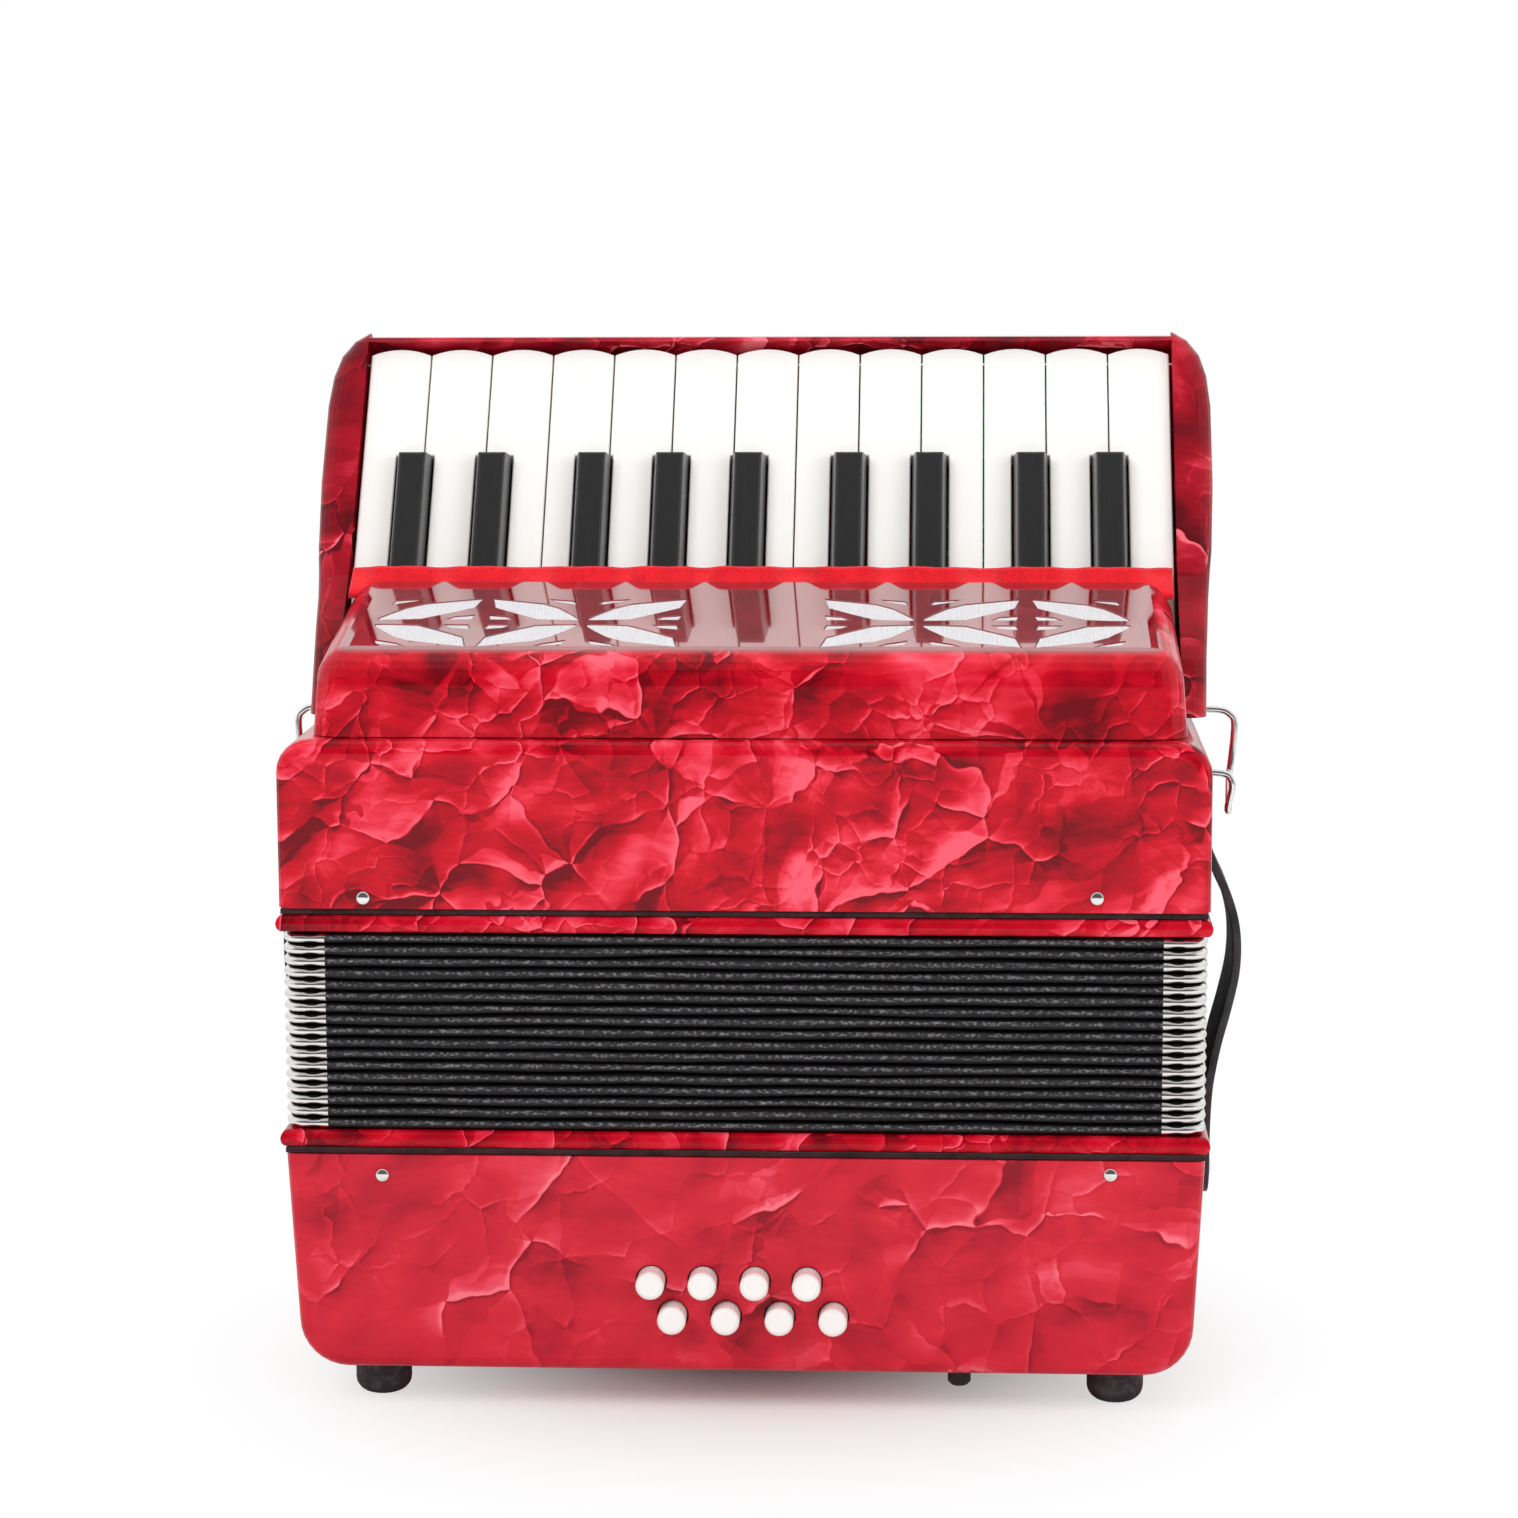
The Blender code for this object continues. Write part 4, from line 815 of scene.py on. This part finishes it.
def band(name, path, half, middle, thickness, mat, body, tip=0.0):
    """A leather band of the given width along a path of (x, z) points, its far end rounded by tip."""
    bm = bmesh.new()
    verts = [bm.verts.new((p[0], middle - half, p[1])) for p in path]
    edges = [bm.edges.new(pair) for pair in zip(verts, verts[1:])]
    push(bm, edges, (0, 2 * half, 0), BAND_STEPS)
    end = Vector((path[-1][0], path[-1][1]))
    if tip:
        for v in bm.verts:
            gap = (Vector((v.co.x, v.co.z)) - end).length
            if gap < tip:
                v.co.y = middle + (v.co.y - middle) * math.sqrt(1 - (1 - gap / tip) ** 2 * TIP_NARROW)
    bmesh.ops.recalc_face_normals(bm, faces=bm.faces)
    piece = put(name, bm, mat, body, 60)
    thicken(piece, thickness)
    edge = piece.modifiers.new("Worn edge", "BEVEL")
    edge.width = WORN_EDGE
    edge.segments = 3
    edge.limit_method = "ANGLE"
    return piece


# Strap line: slack as a share of the fullest bulge, and height as a share of the way from stud to treble case
STRAP_LOOP = [(0.0, 1.225), (0.0, 1.141), (0.088, 1.088), (0.363, 1.015), (0.676, 0.941), (0.912, 0.857),
              (1.0, 0.773), (0.951, 0.673), (0.716, 0.555), (0.461, 0.45), (0.284, 0.355), (0.186, 0.277),
              (0.137, 0.174), (0.127, 0.068), (0.127, -0.079)]
# Straps stand off the case, and further off below STRAP_LOW_SHARE, where the stud holds them
STRAP_STAND = 0.4 * MM
STRAP_END = 1.3 * MM
STRAP_LOW_SHARE = 0.3
STRAP_TIP = 11 * MM
SNAP_HEIGHT = 1.5 * MM
SNAP_SINK = 0.2 * MM
SNAP_SIDES = 36
STUD_Z = 59.5 * MM
SLACK = {"right": 10.2 * MM, "left": 6.2 * MM}


def strap_line(side, way, thickness):
    """Middle line of a bellows strap as (x, z) points."""
    points = []
    for bulge, share in STRAP_LOOP:
        out = bulge * SLACK[side]
        if share <= STRAP_LOW_SHARE:
            out = max(out, STRAP_END)
        x = TREBLE_HIGH[0] + STRAP_STAND + out + thickness / 2
        points.append((way * x, STUD_Z + share * (TREBLE_LOW[2] - STUD_Z)))
    return smooth_path(points, 4)


class ACCORDION_OT_straps(bpy.types.Operator):
    """Builds the two bellows straps with their snap caps"""

    bl_idname = "accordion.straps"
    bl_label = "Bellows straps"

    def execute(self, context):
        sizes = context.scene.accordion_sizes
        hide = leather("strap_leather", tone(40, 39, 41), tone(74, 73, 76))
        plate = chrome("snap_chrome", 0.1)
        middle = (STRAP_LOW[1] + STRAP_HIGH[1]) / 2
        half = (STRAP_HIGH[1] - STRAP_LOW[1]) / 2
        for side, way in SIDES:
            line = strap_line(side, way, sizes.strap)
            node = f"bellows_strap_{side}"
            strap = band(f"{node}_leather", line, half, middle, sizes.strap, hide, node, STRAP_TIP)
            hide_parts(node)
            bm = bmesh.new()
            face = TREBLE_HIGH[0] + STRAP_STAND + STRAP_END + sizes.strap - SNAP_SINK
            turned(bm, dome(sizes.snap, SNAP_HEIGHT), (way * face, middle, STUD_Z), (way, 0, 0), SNAP_SIDES)
            put(f"{node}_snap", bm, plate, node)
        return {"FINISHED"}


# Hand strap: the flat length at each end and the steps along it
HAND_FLAT = 17 * MM
HAND_STEPS = 56


class ACCORDION_OT_hand_strap(bpy.types.Operator):
    """Builds the leather hand strap under the bass end"""

    bl_idname = "accordion.hand_strap"
    bl_label = "Hand strap"

    def execute(self, context):
        hide = leather("hand_leather", tone(34, 32, 33), tone(62, 60, 62))
        thickness = context.scene.accordion_sizes.strap
        reach = HAND_HIGH[0]
        drop = HAND_HIGH[2] - HAND_LOW[2] - thickness
        line = []
        for i in range(HAND_STEPS + 1):
            x = -reach + 2 * reach * i / HAND_STEPS
            share = min(max((reach - abs(x) - HAND_FLAT) / (reach - HAND_FLAT), 0), 1)
            line.append((x, HAND_HIGH[2] - thickness / 2 - drop * math.sin(share * math.pi / 2) ** 2))
        middle = (HAND_LOW[1] + HAND_HIGH[1]) / 2
        half = (HAND_HIGH[1] - HAND_LOW[1]) / 2
        strap = band("hand_strap_leather", line, half, middle, thickness, hide, "bass")
        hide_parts("hand_strap")
        return {"FINISHED"}


# Black keys: the line between white keys at which each stands, and its shift from it in millimetres
BLACK_SHIFTS = ((1, -2.8), (2, 2.8), (4, -5.0), (5, 0.0), (6, 5.0),
                (8, -2.8), (9, 2.8), (11, -5.0), (12, 0.0))
KEY_PITCH = 20 * MM
MIDDLE_LINE = len(WHITE_KEYS) / 2
# Felt: the height over the white keys of its rim and of its free edge, and how black keys lift that edge
FELT_RIM = 7.7 * MM
FELT_REST = 3.2 * MM
FELT_LIFT = 4.5 * MM
FELT_SIDE = 6.8 * MM
FELT_FALL = 3.2 * MM
# Felt along the keys: where it starts and how far it reaches, which differs over black and white keys
FELT_START = -14.2 * MM
FELT_REACH = 10 * MM
FELT_OVER_BLACK = 0.7 * MM
FELT_OVER_WHITE = 2.8 * MM
FELT_RAGGED = 0.35 * MM
RAGGED_RATE = 160
FELT_GRID = (240, 10)


class ACCORDION_OT_felt(bpy.types.Operator):
    """Drapes the dust felt from the cover's back edge over the keys"""

    bl_idname = "accordion.felt"
    bl_label = "Dust felt"

    def execute(self, context):
        thickness = context.scene.accordion_sizes.felt
        low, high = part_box("dust_felt")
        raised = [KEY_LINE.x + (i - MIDDLE_LINE) * KEY_PITCH + shift * MM for i, shift in BLACK_SHIFTS]
        bm = bmesh.new()
        bmesh.ops.create_grid(bm, x_segments=FELT_GRID[0], y_segments=FELT_GRID[1], size=1.0)
        rim = FELT_RIM + thickness / 2
        for v in bm.verts:
            x = (low[0] + high[0]) / 2 + v.co.x * (high[0] - low[0]) / 2
            share = (v.co.y + 1) / 2
            lift = 0.0
            for centre in raised:
                past = max(abs(x - centre) - FELT_SIDE, 0)
                lift = max(lift, math.exp(-past ** 2 / (2 * FELT_FALL ** 2)))
            rest = FELT_REST + thickness / 2 + FELT_LIFT * lift
            ragged = FELT_RAGGED * noise.noise(Vector((x * RAGGED_RATE, 3.1, 0.7)))
            reach = FELT_REACH + lift * FELT_OVER_BLACK + (1 - lift) * FELT_OVER_WHITE + ragged
            along = FELT_START + share * reach
            ease = share * share * (3 - 2 * share)
            v.co = on_keys(x, along, rim + (rest - rim) * ease)
        colour = tuple(context.scene.accordion_colours.felt)
        red = felt_cloth("dust_felt_red", colour, tone(214, 20, 34))
        felt = put("dust_felt_strip", bm, red, "treble", 80)
        thicken(felt, thickness)
        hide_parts("dust_felt")
        return {"FINISHED"}


# Grille cloth: thickness of its solid in the frame and of the cloth itself, and its ripple
CLOTH_SOLID = 0.8 * MM
CLOTH_THIN = 0.4 * MM
CLOTH_RIPPLE = 0.12 * MM
RIPPLE_RATE = 60
CLOTH_GRID = (120, 24)


class ACCORDION_OT_cloth(bpy.types.Operator):
    """Stretches the pale cloth behind the cover's cut-outs"""

    bl_idname = "accordion.cloth"
    bl_label = "Grille cloth"

    def execute(self, context):
        low, high = CLOTH_LOW, CLOTH_HIGH
        bm = bmesh.new()
        bmesh.ops.create_grid(bm, x_segments=CLOTH_GRID[0], y_segments=CLOTH_GRID[1], size=1.0)
        for v in bm.verts:
            x = (low[0] + high[0]) / 2 + v.co.x * (high[0] - low[0]) / 2
            share = (v.co.y + 1) / 2
            y = low[1] + share * (high[1] - low[1])
            ripple = CLOTH_RIPPLE * noise.noise(Vector((x * RIPPLE_RATE, y * RIPPLE_RATE, 0.3)))
            top = low[2] + CLOTH_SOLID + (high[2] - low[2] - CLOTH_SOLID) * share
            v.co = (x, y, top - CLOTH_SOLID / 2 + ripple)
        cloth = put("grille_cloth_sheet", bm, woven_silver("grille_weave"), "treble", 80)
        thicken(cloth, CLOTH_THIN)
        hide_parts("grille_cloth")
        return {"FINISHED"}


# Ornament of the cover: u runs from a unit's narrow side, v from its middle line to its front or back
WING = [(0.0, 0.08), (0.0, 0.16), (0.10, 0.36), (0.24, 0.60), (0.42, 0.78), (0.68, 0.88), (1.0, 1.0),
        (0.94, 0.60), (0.70, 0.36), (0.44, 0.12), (0.20, 0.09)]
FINGER = [(0.68, 0.10), (0.78, 0.24), (0.98, 0.30), (0.95, 0.10)]
SLOT = [(0.06, 0.72), (0.10, 0.90), (0.40, 0.98), (0.30, 0.86)]
# Units of the ornament in millimetres: both ends along x, and the side to which they open
UNITS = [(-112.9, -82.9, 1), (-80.0, -51.6, -1), (-48.6, -19.7, 1),
         (22.5, 50.4, -1), (53.0, 82.5, 1), (86.0, 115.1, -1)]
ORNAMENT_MIDDLE = -32.5 * MM
ORNAMENT_HALF = 23.6 * MM
# Panels in the cut-outs: how far they lie under the seat, the gap round them and their thickness
PANEL_SINK = 0.35 * MM
PANEL_GAP = 0.2 * MM
PANEL_DEPTH = 2.0 * MM


def seat_height(y):
    """Height of the cover's seat at a depth."""
    return SEAT_START[1] + SEAT_SLOPE * (y - SEAT_START[0])


class ACCORDION_OT_inlays(bpy.types.Operator):
    """Presses pale cloth panels up into the cover's cut-outs"""

    bl_idname = "accordion.inlays"
    bl_label = "Cut-out panels"

    def execute(self, context):
        bm = bmesh.new()
        for x0, x1, way in UNITS:
            for shape in (WING, FINGER, SLOT):
                for flip in (1, -1):
                    points = []
                    for u, v in shape:
                        across = u if way > 0 else 1 - u
                        y = ORNAMENT_MIDDLE + ORNAMENT_HALF * v * flip
                        points.append(((x0 + (x1 - x0) * across) * MM, y, seat_height(y) - PANEL_SINK))
                    bm.faces.new([bm.verts.new(p) for p in points])
        bmesh.ops.recalc_face_normals(bm, faces=bm.faces)
        panels = bm.faces[:]
        inset = bmesh.ops.inset_individual(bm, faces=panels, thickness=PANEL_GAP, use_even_offset=True)
        bmesh.ops.delete(bm, geom=inset["faces"], context="FACES")
        made = bmesh.ops.extrude_face_region(bm, geom=bm.faces[:])["geom"]
        lowered = [g for g in made if isinstance(g, bmesh.types.BMVert)]
        bmesh.ops.translate(bm, verts=lowered, vec=(0, 0, -PANEL_DEPTH))
        put("grille_panels", bm, woven_silver("panel_weave"), "treble", 30)
        return {"FINISHED"}


# Wire of the right bracket in millimetres: x, depth behind the treble front, and z
WIRE_LINE = [(138.8, 128.0, 197.6), (148.0, 128.0, 197.4), (151.6, 128.0, 196.0), (153.2, 128.0, 192.6),
             (152.2, 127.0, 180.4), (151.4, 124.0, 176.2), (150.0, 104.0, 168.8), (149.6, 101.0, 170.2),
             (150.8, 100.0, 176.0), (150.2, 100.0, 179.2), (147.8, 100.0, 180.8), (138.8, 100.0, 181.4)]
WIRE_SIDES = 16


class ACCORDION_OT_brackets(bpy.types.Operator):
    """Bends the wire brackets for the shoulder straps"""

    bl_idname = "accordion.brackets"
    bl_label = "Wire brackets"

    def execute(self, context):
        radius = context.scene.accordion_sizes.wire
        plate = chrome("bracket_chrome", 0.06)
        for side, way in SIDES:
            points = [Vector((way * x, y, z)) * MM + Vector((0, TREBLE_LOW[1], 0)) for x, y, z in WIRE_LINE]
            path = smooth_path(points, 6)
            bm = bmesh.new()
            ahead = (path[1] - path[0]).normalized()
            across = ahead.orthogonal().normalized()
            angles = [math.tau * i / WIRE_SIDES for i in range(WIRE_SIDES)]
            spokes = [Matrix.Rotation(angle, 3, ahead) @ across for angle in angles]
            edges = loop_of(bm, [path[0] + spoke * radius for spoke in spokes])
            first = list(edges)
            for here, there in zip(path, path[1:]):
                step = (there - here).normalized()
                edges = push(bm, edges, there - here)
                bend = ahead.rotation_difference(step).to_matrix()
                verts = list({v for e in edges for v in e.verts})
                bmesh.ops.rotate(bm, verts=verts, cent=there, matrix=bend)
                ahead = step
            bmesh.ops.holes_fill(bm, edges=first + edges, sides=0)
            wire = put(f"strap_wire_{side}", bm, plate, "treble")
            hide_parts(f"strap_bracket_{side}")
        return {"FINISHED"}


# Camera fitted to the photograph: its place in metres and its turn about X, Y and Z in degrees
CAMERA_PLACE = (0.064915, -1.170830, 0.366901)
CAMERA_TURN = (81.3822, 0.2363, 3.0617)
LENS = 90.0
SENSOR = 36.0
CAMERA_NEAR = 0.05
# Lamps: place, width and watts, all aimed at the instrument's middle
LAMPS = {
    "key_light": ((-0.9, -1.4, 1.6), 1.3, 26.0),
    "fill_light": ((1.3, -1.2, 0.8), 1.2, 11.0),
    "top_light": ((0.1, 0.6, 1.9), 1.2, 14.0),
}
LAMP_AIM = Vector((0, 0, 0.16))
# Room: grey before the instrument, white behind it, dimmer for diffuse light than for reflections
ROOM_GREY = 0.12
ROOM_FADE = (-0.75, -0.1)
DIFFUSE_LEVEL = 0.5
# Floor: its radius, and how far from the middle it has faded to white for the camera
FLOOR_RADIUS = 9.0
FLOOR_FADE = 0.2


class ACCORDION_OT_stage(bpy.types.Operator):
    """Sets the pale floor, the soft light and the camera"""

    bl_idname = "accordion.stage"
    bl_label = "Stage"

    def lamp(self, name, place, size, watts):
        """Hangs a round soft lamp."""
        data = bpy.data.lights.new(name, "AREA")
        data.shape = "DISK"
        data.size = size
        data.energy = watts
        lamp = bpy.data.objects.new(name, data)
        lamp.location = place
        aim = LAMP_AIM - Vector(place)
        lamp.rotation_euler = aim.to_track_quat("-Z", "Y").to_euler()
        lamp.visible_glossy = False
        bpy.context.scene.collection.objects.link(lamp)

    def sky(self, scene):
        """Lights the scene with a soft room, which the camera itself sees as plain white."""
        world = bpy.data.worlds.new("studio")
        world.use_nodes = True
        scene.world = world
        room = Nodes(world.node_tree)
        glossy = room.node("ShaderNodeLightPath", out="Is Glossy Ray")
        through = room.node("ShaderNodeLightPath", out="Is Transmission Ray")
        camera = room.node("ShaderNodeLightPath", out="Is Camera Ray")
        depth = room.part(room.node("ShaderNodeTexCoord", out="Generated"), "Y")
        grey = ROOM_GREY + (1 - ROOM_GREY) * depth.rise(*ROOM_FADE)
        level = DIFFUSE_LEVEL + (1 - DIFFUSE_LEVEL) * glossy.most(through)
        back = world.node_tree.nodes["Background"]
        room.feed(back.inputs["Color"], (1.0, 1.0, 1.0))
        room.feed(back.inputs["Strength"], (grey * level).most(camera))

    def floor(self, colour):
        """Lays a floor that keeps the shadow and fades to plain white for the camera."""
        bm = bmesh.new()
        bmesh.ops.create_circle(bm, cap_ends=True, segments=96, radius=FLOOR_RADIUS)
        finish = Finish("floor_pale", Roughness=0.9, Specular_IOR_Level=0.0)
        away = finish.node("ShaderNodeVectorMath", {"operation": "LENGTH"}, {0: finish.coords()}, "Value")
        far = away.rise(0.0, FLOOR_FADE)
        ray = finish.node("ShaderNodeLightPath", None, None, "Is Camera Ray")
        finish.give("Base Color", colour)
        glow = finish.node("ShaderNodeEmission", None, {"Color": (1.0, 1.0, 1.0), "Strength": 1.0})
        sockets = {0: far * ray, 1: Value(finish, finish.shader.outputs[0]), 2: glow}
        mixed = finish.node("ShaderNodeMixShader", None, sockets)
        finish.feed(finish.tree.nodes["Material Output"].inputs["Surface"], mixed)
        put("floor", bm, finish.mat)

    def execute(self, context):
        scene = context.scene
        scene.view_settings.view_transform = "Standard"
        self.sky(scene)
        self.floor(tuple(scene.accordion_colours.floor))
        for name, (place, size, watts) in LAMPS.items():
            self.lamp(name, place, size, watts)
        data = bpy.data.cameras.new("camera")
        data.lens = LENS
        data.sensor_width = SENSOR
        data.clip_start = CAMERA_NEAR
        camera = bpy.data.objects.new("camera", data)
        camera.location = CAMERA_PLACE
        camera.rotation_euler = [math.radians(angle) for angle in CAMERA_TURN]
        scene.collection.objects.link(camera)
        scene.camera = camera
        return {"FINISHED"}


OPERATORS = (
    ACCORDION_OT_stage,
    ACCORDION_OT_cases,
    ACCORDION_OT_keys,
    ACCORDION_OT_fittings,
    ACCORDION_OT_bellows,
    ACCORDION_OT_clips,
    ACCORDION_OT_pins,
    ACCORDION_OT_straps,
    ACCORDION_OT_hand_strap,
    ACCORDION_OT_felt,
    ACCORDION_OT_cloth,
    ACCORDION_OT_inlays,
    ACCORDION_OT_brackets,
)


class ACCORDION_PT_panel(bpy.types.Panel):
    """Lists the sizes, the colours and the operators"""

    bl_label = "Accordion"
    bl_space_type = "VIEW_3D"
    bl_region_type = "UI"
    bl_category = "Accordion"

    def draw(self, context):
        for group in (context.scene.accordion_sizes, context.scene.accordion_colours):
            for name in group.__annotations__:
                self.layout.prop(group, name)
        for operator in OPERATORS:
            self.layout.operator(operator.bl_idname)


CLASSES = (AccordionSizes, AccordionColours, *OPERATORS, ACCORDION_PT_panel)


def register():
    for item in CLASSES:
        bpy.utils.register_class(item)
    bpy.types.Scene.accordion_sizes = bpy.props.PointerProperty(type=AccordionSizes)
    bpy.types.Scene.accordion_colours = bpy.props.PointerProperty(type=AccordionColours)


def unregister():
    del bpy.types.Scene.accordion_colours
    del bpy.types.Scene.accordion_sizes
    for item in reversed(CLASSES):
        bpy.utils.unregister_class(item)


def main():
    register()
    for operator in OPERATORS:
        name = operator.bl_idname.split(".")[1]
        getattr(bpy.ops.accordion, name)()


if __name__ == "__main__":
    main()
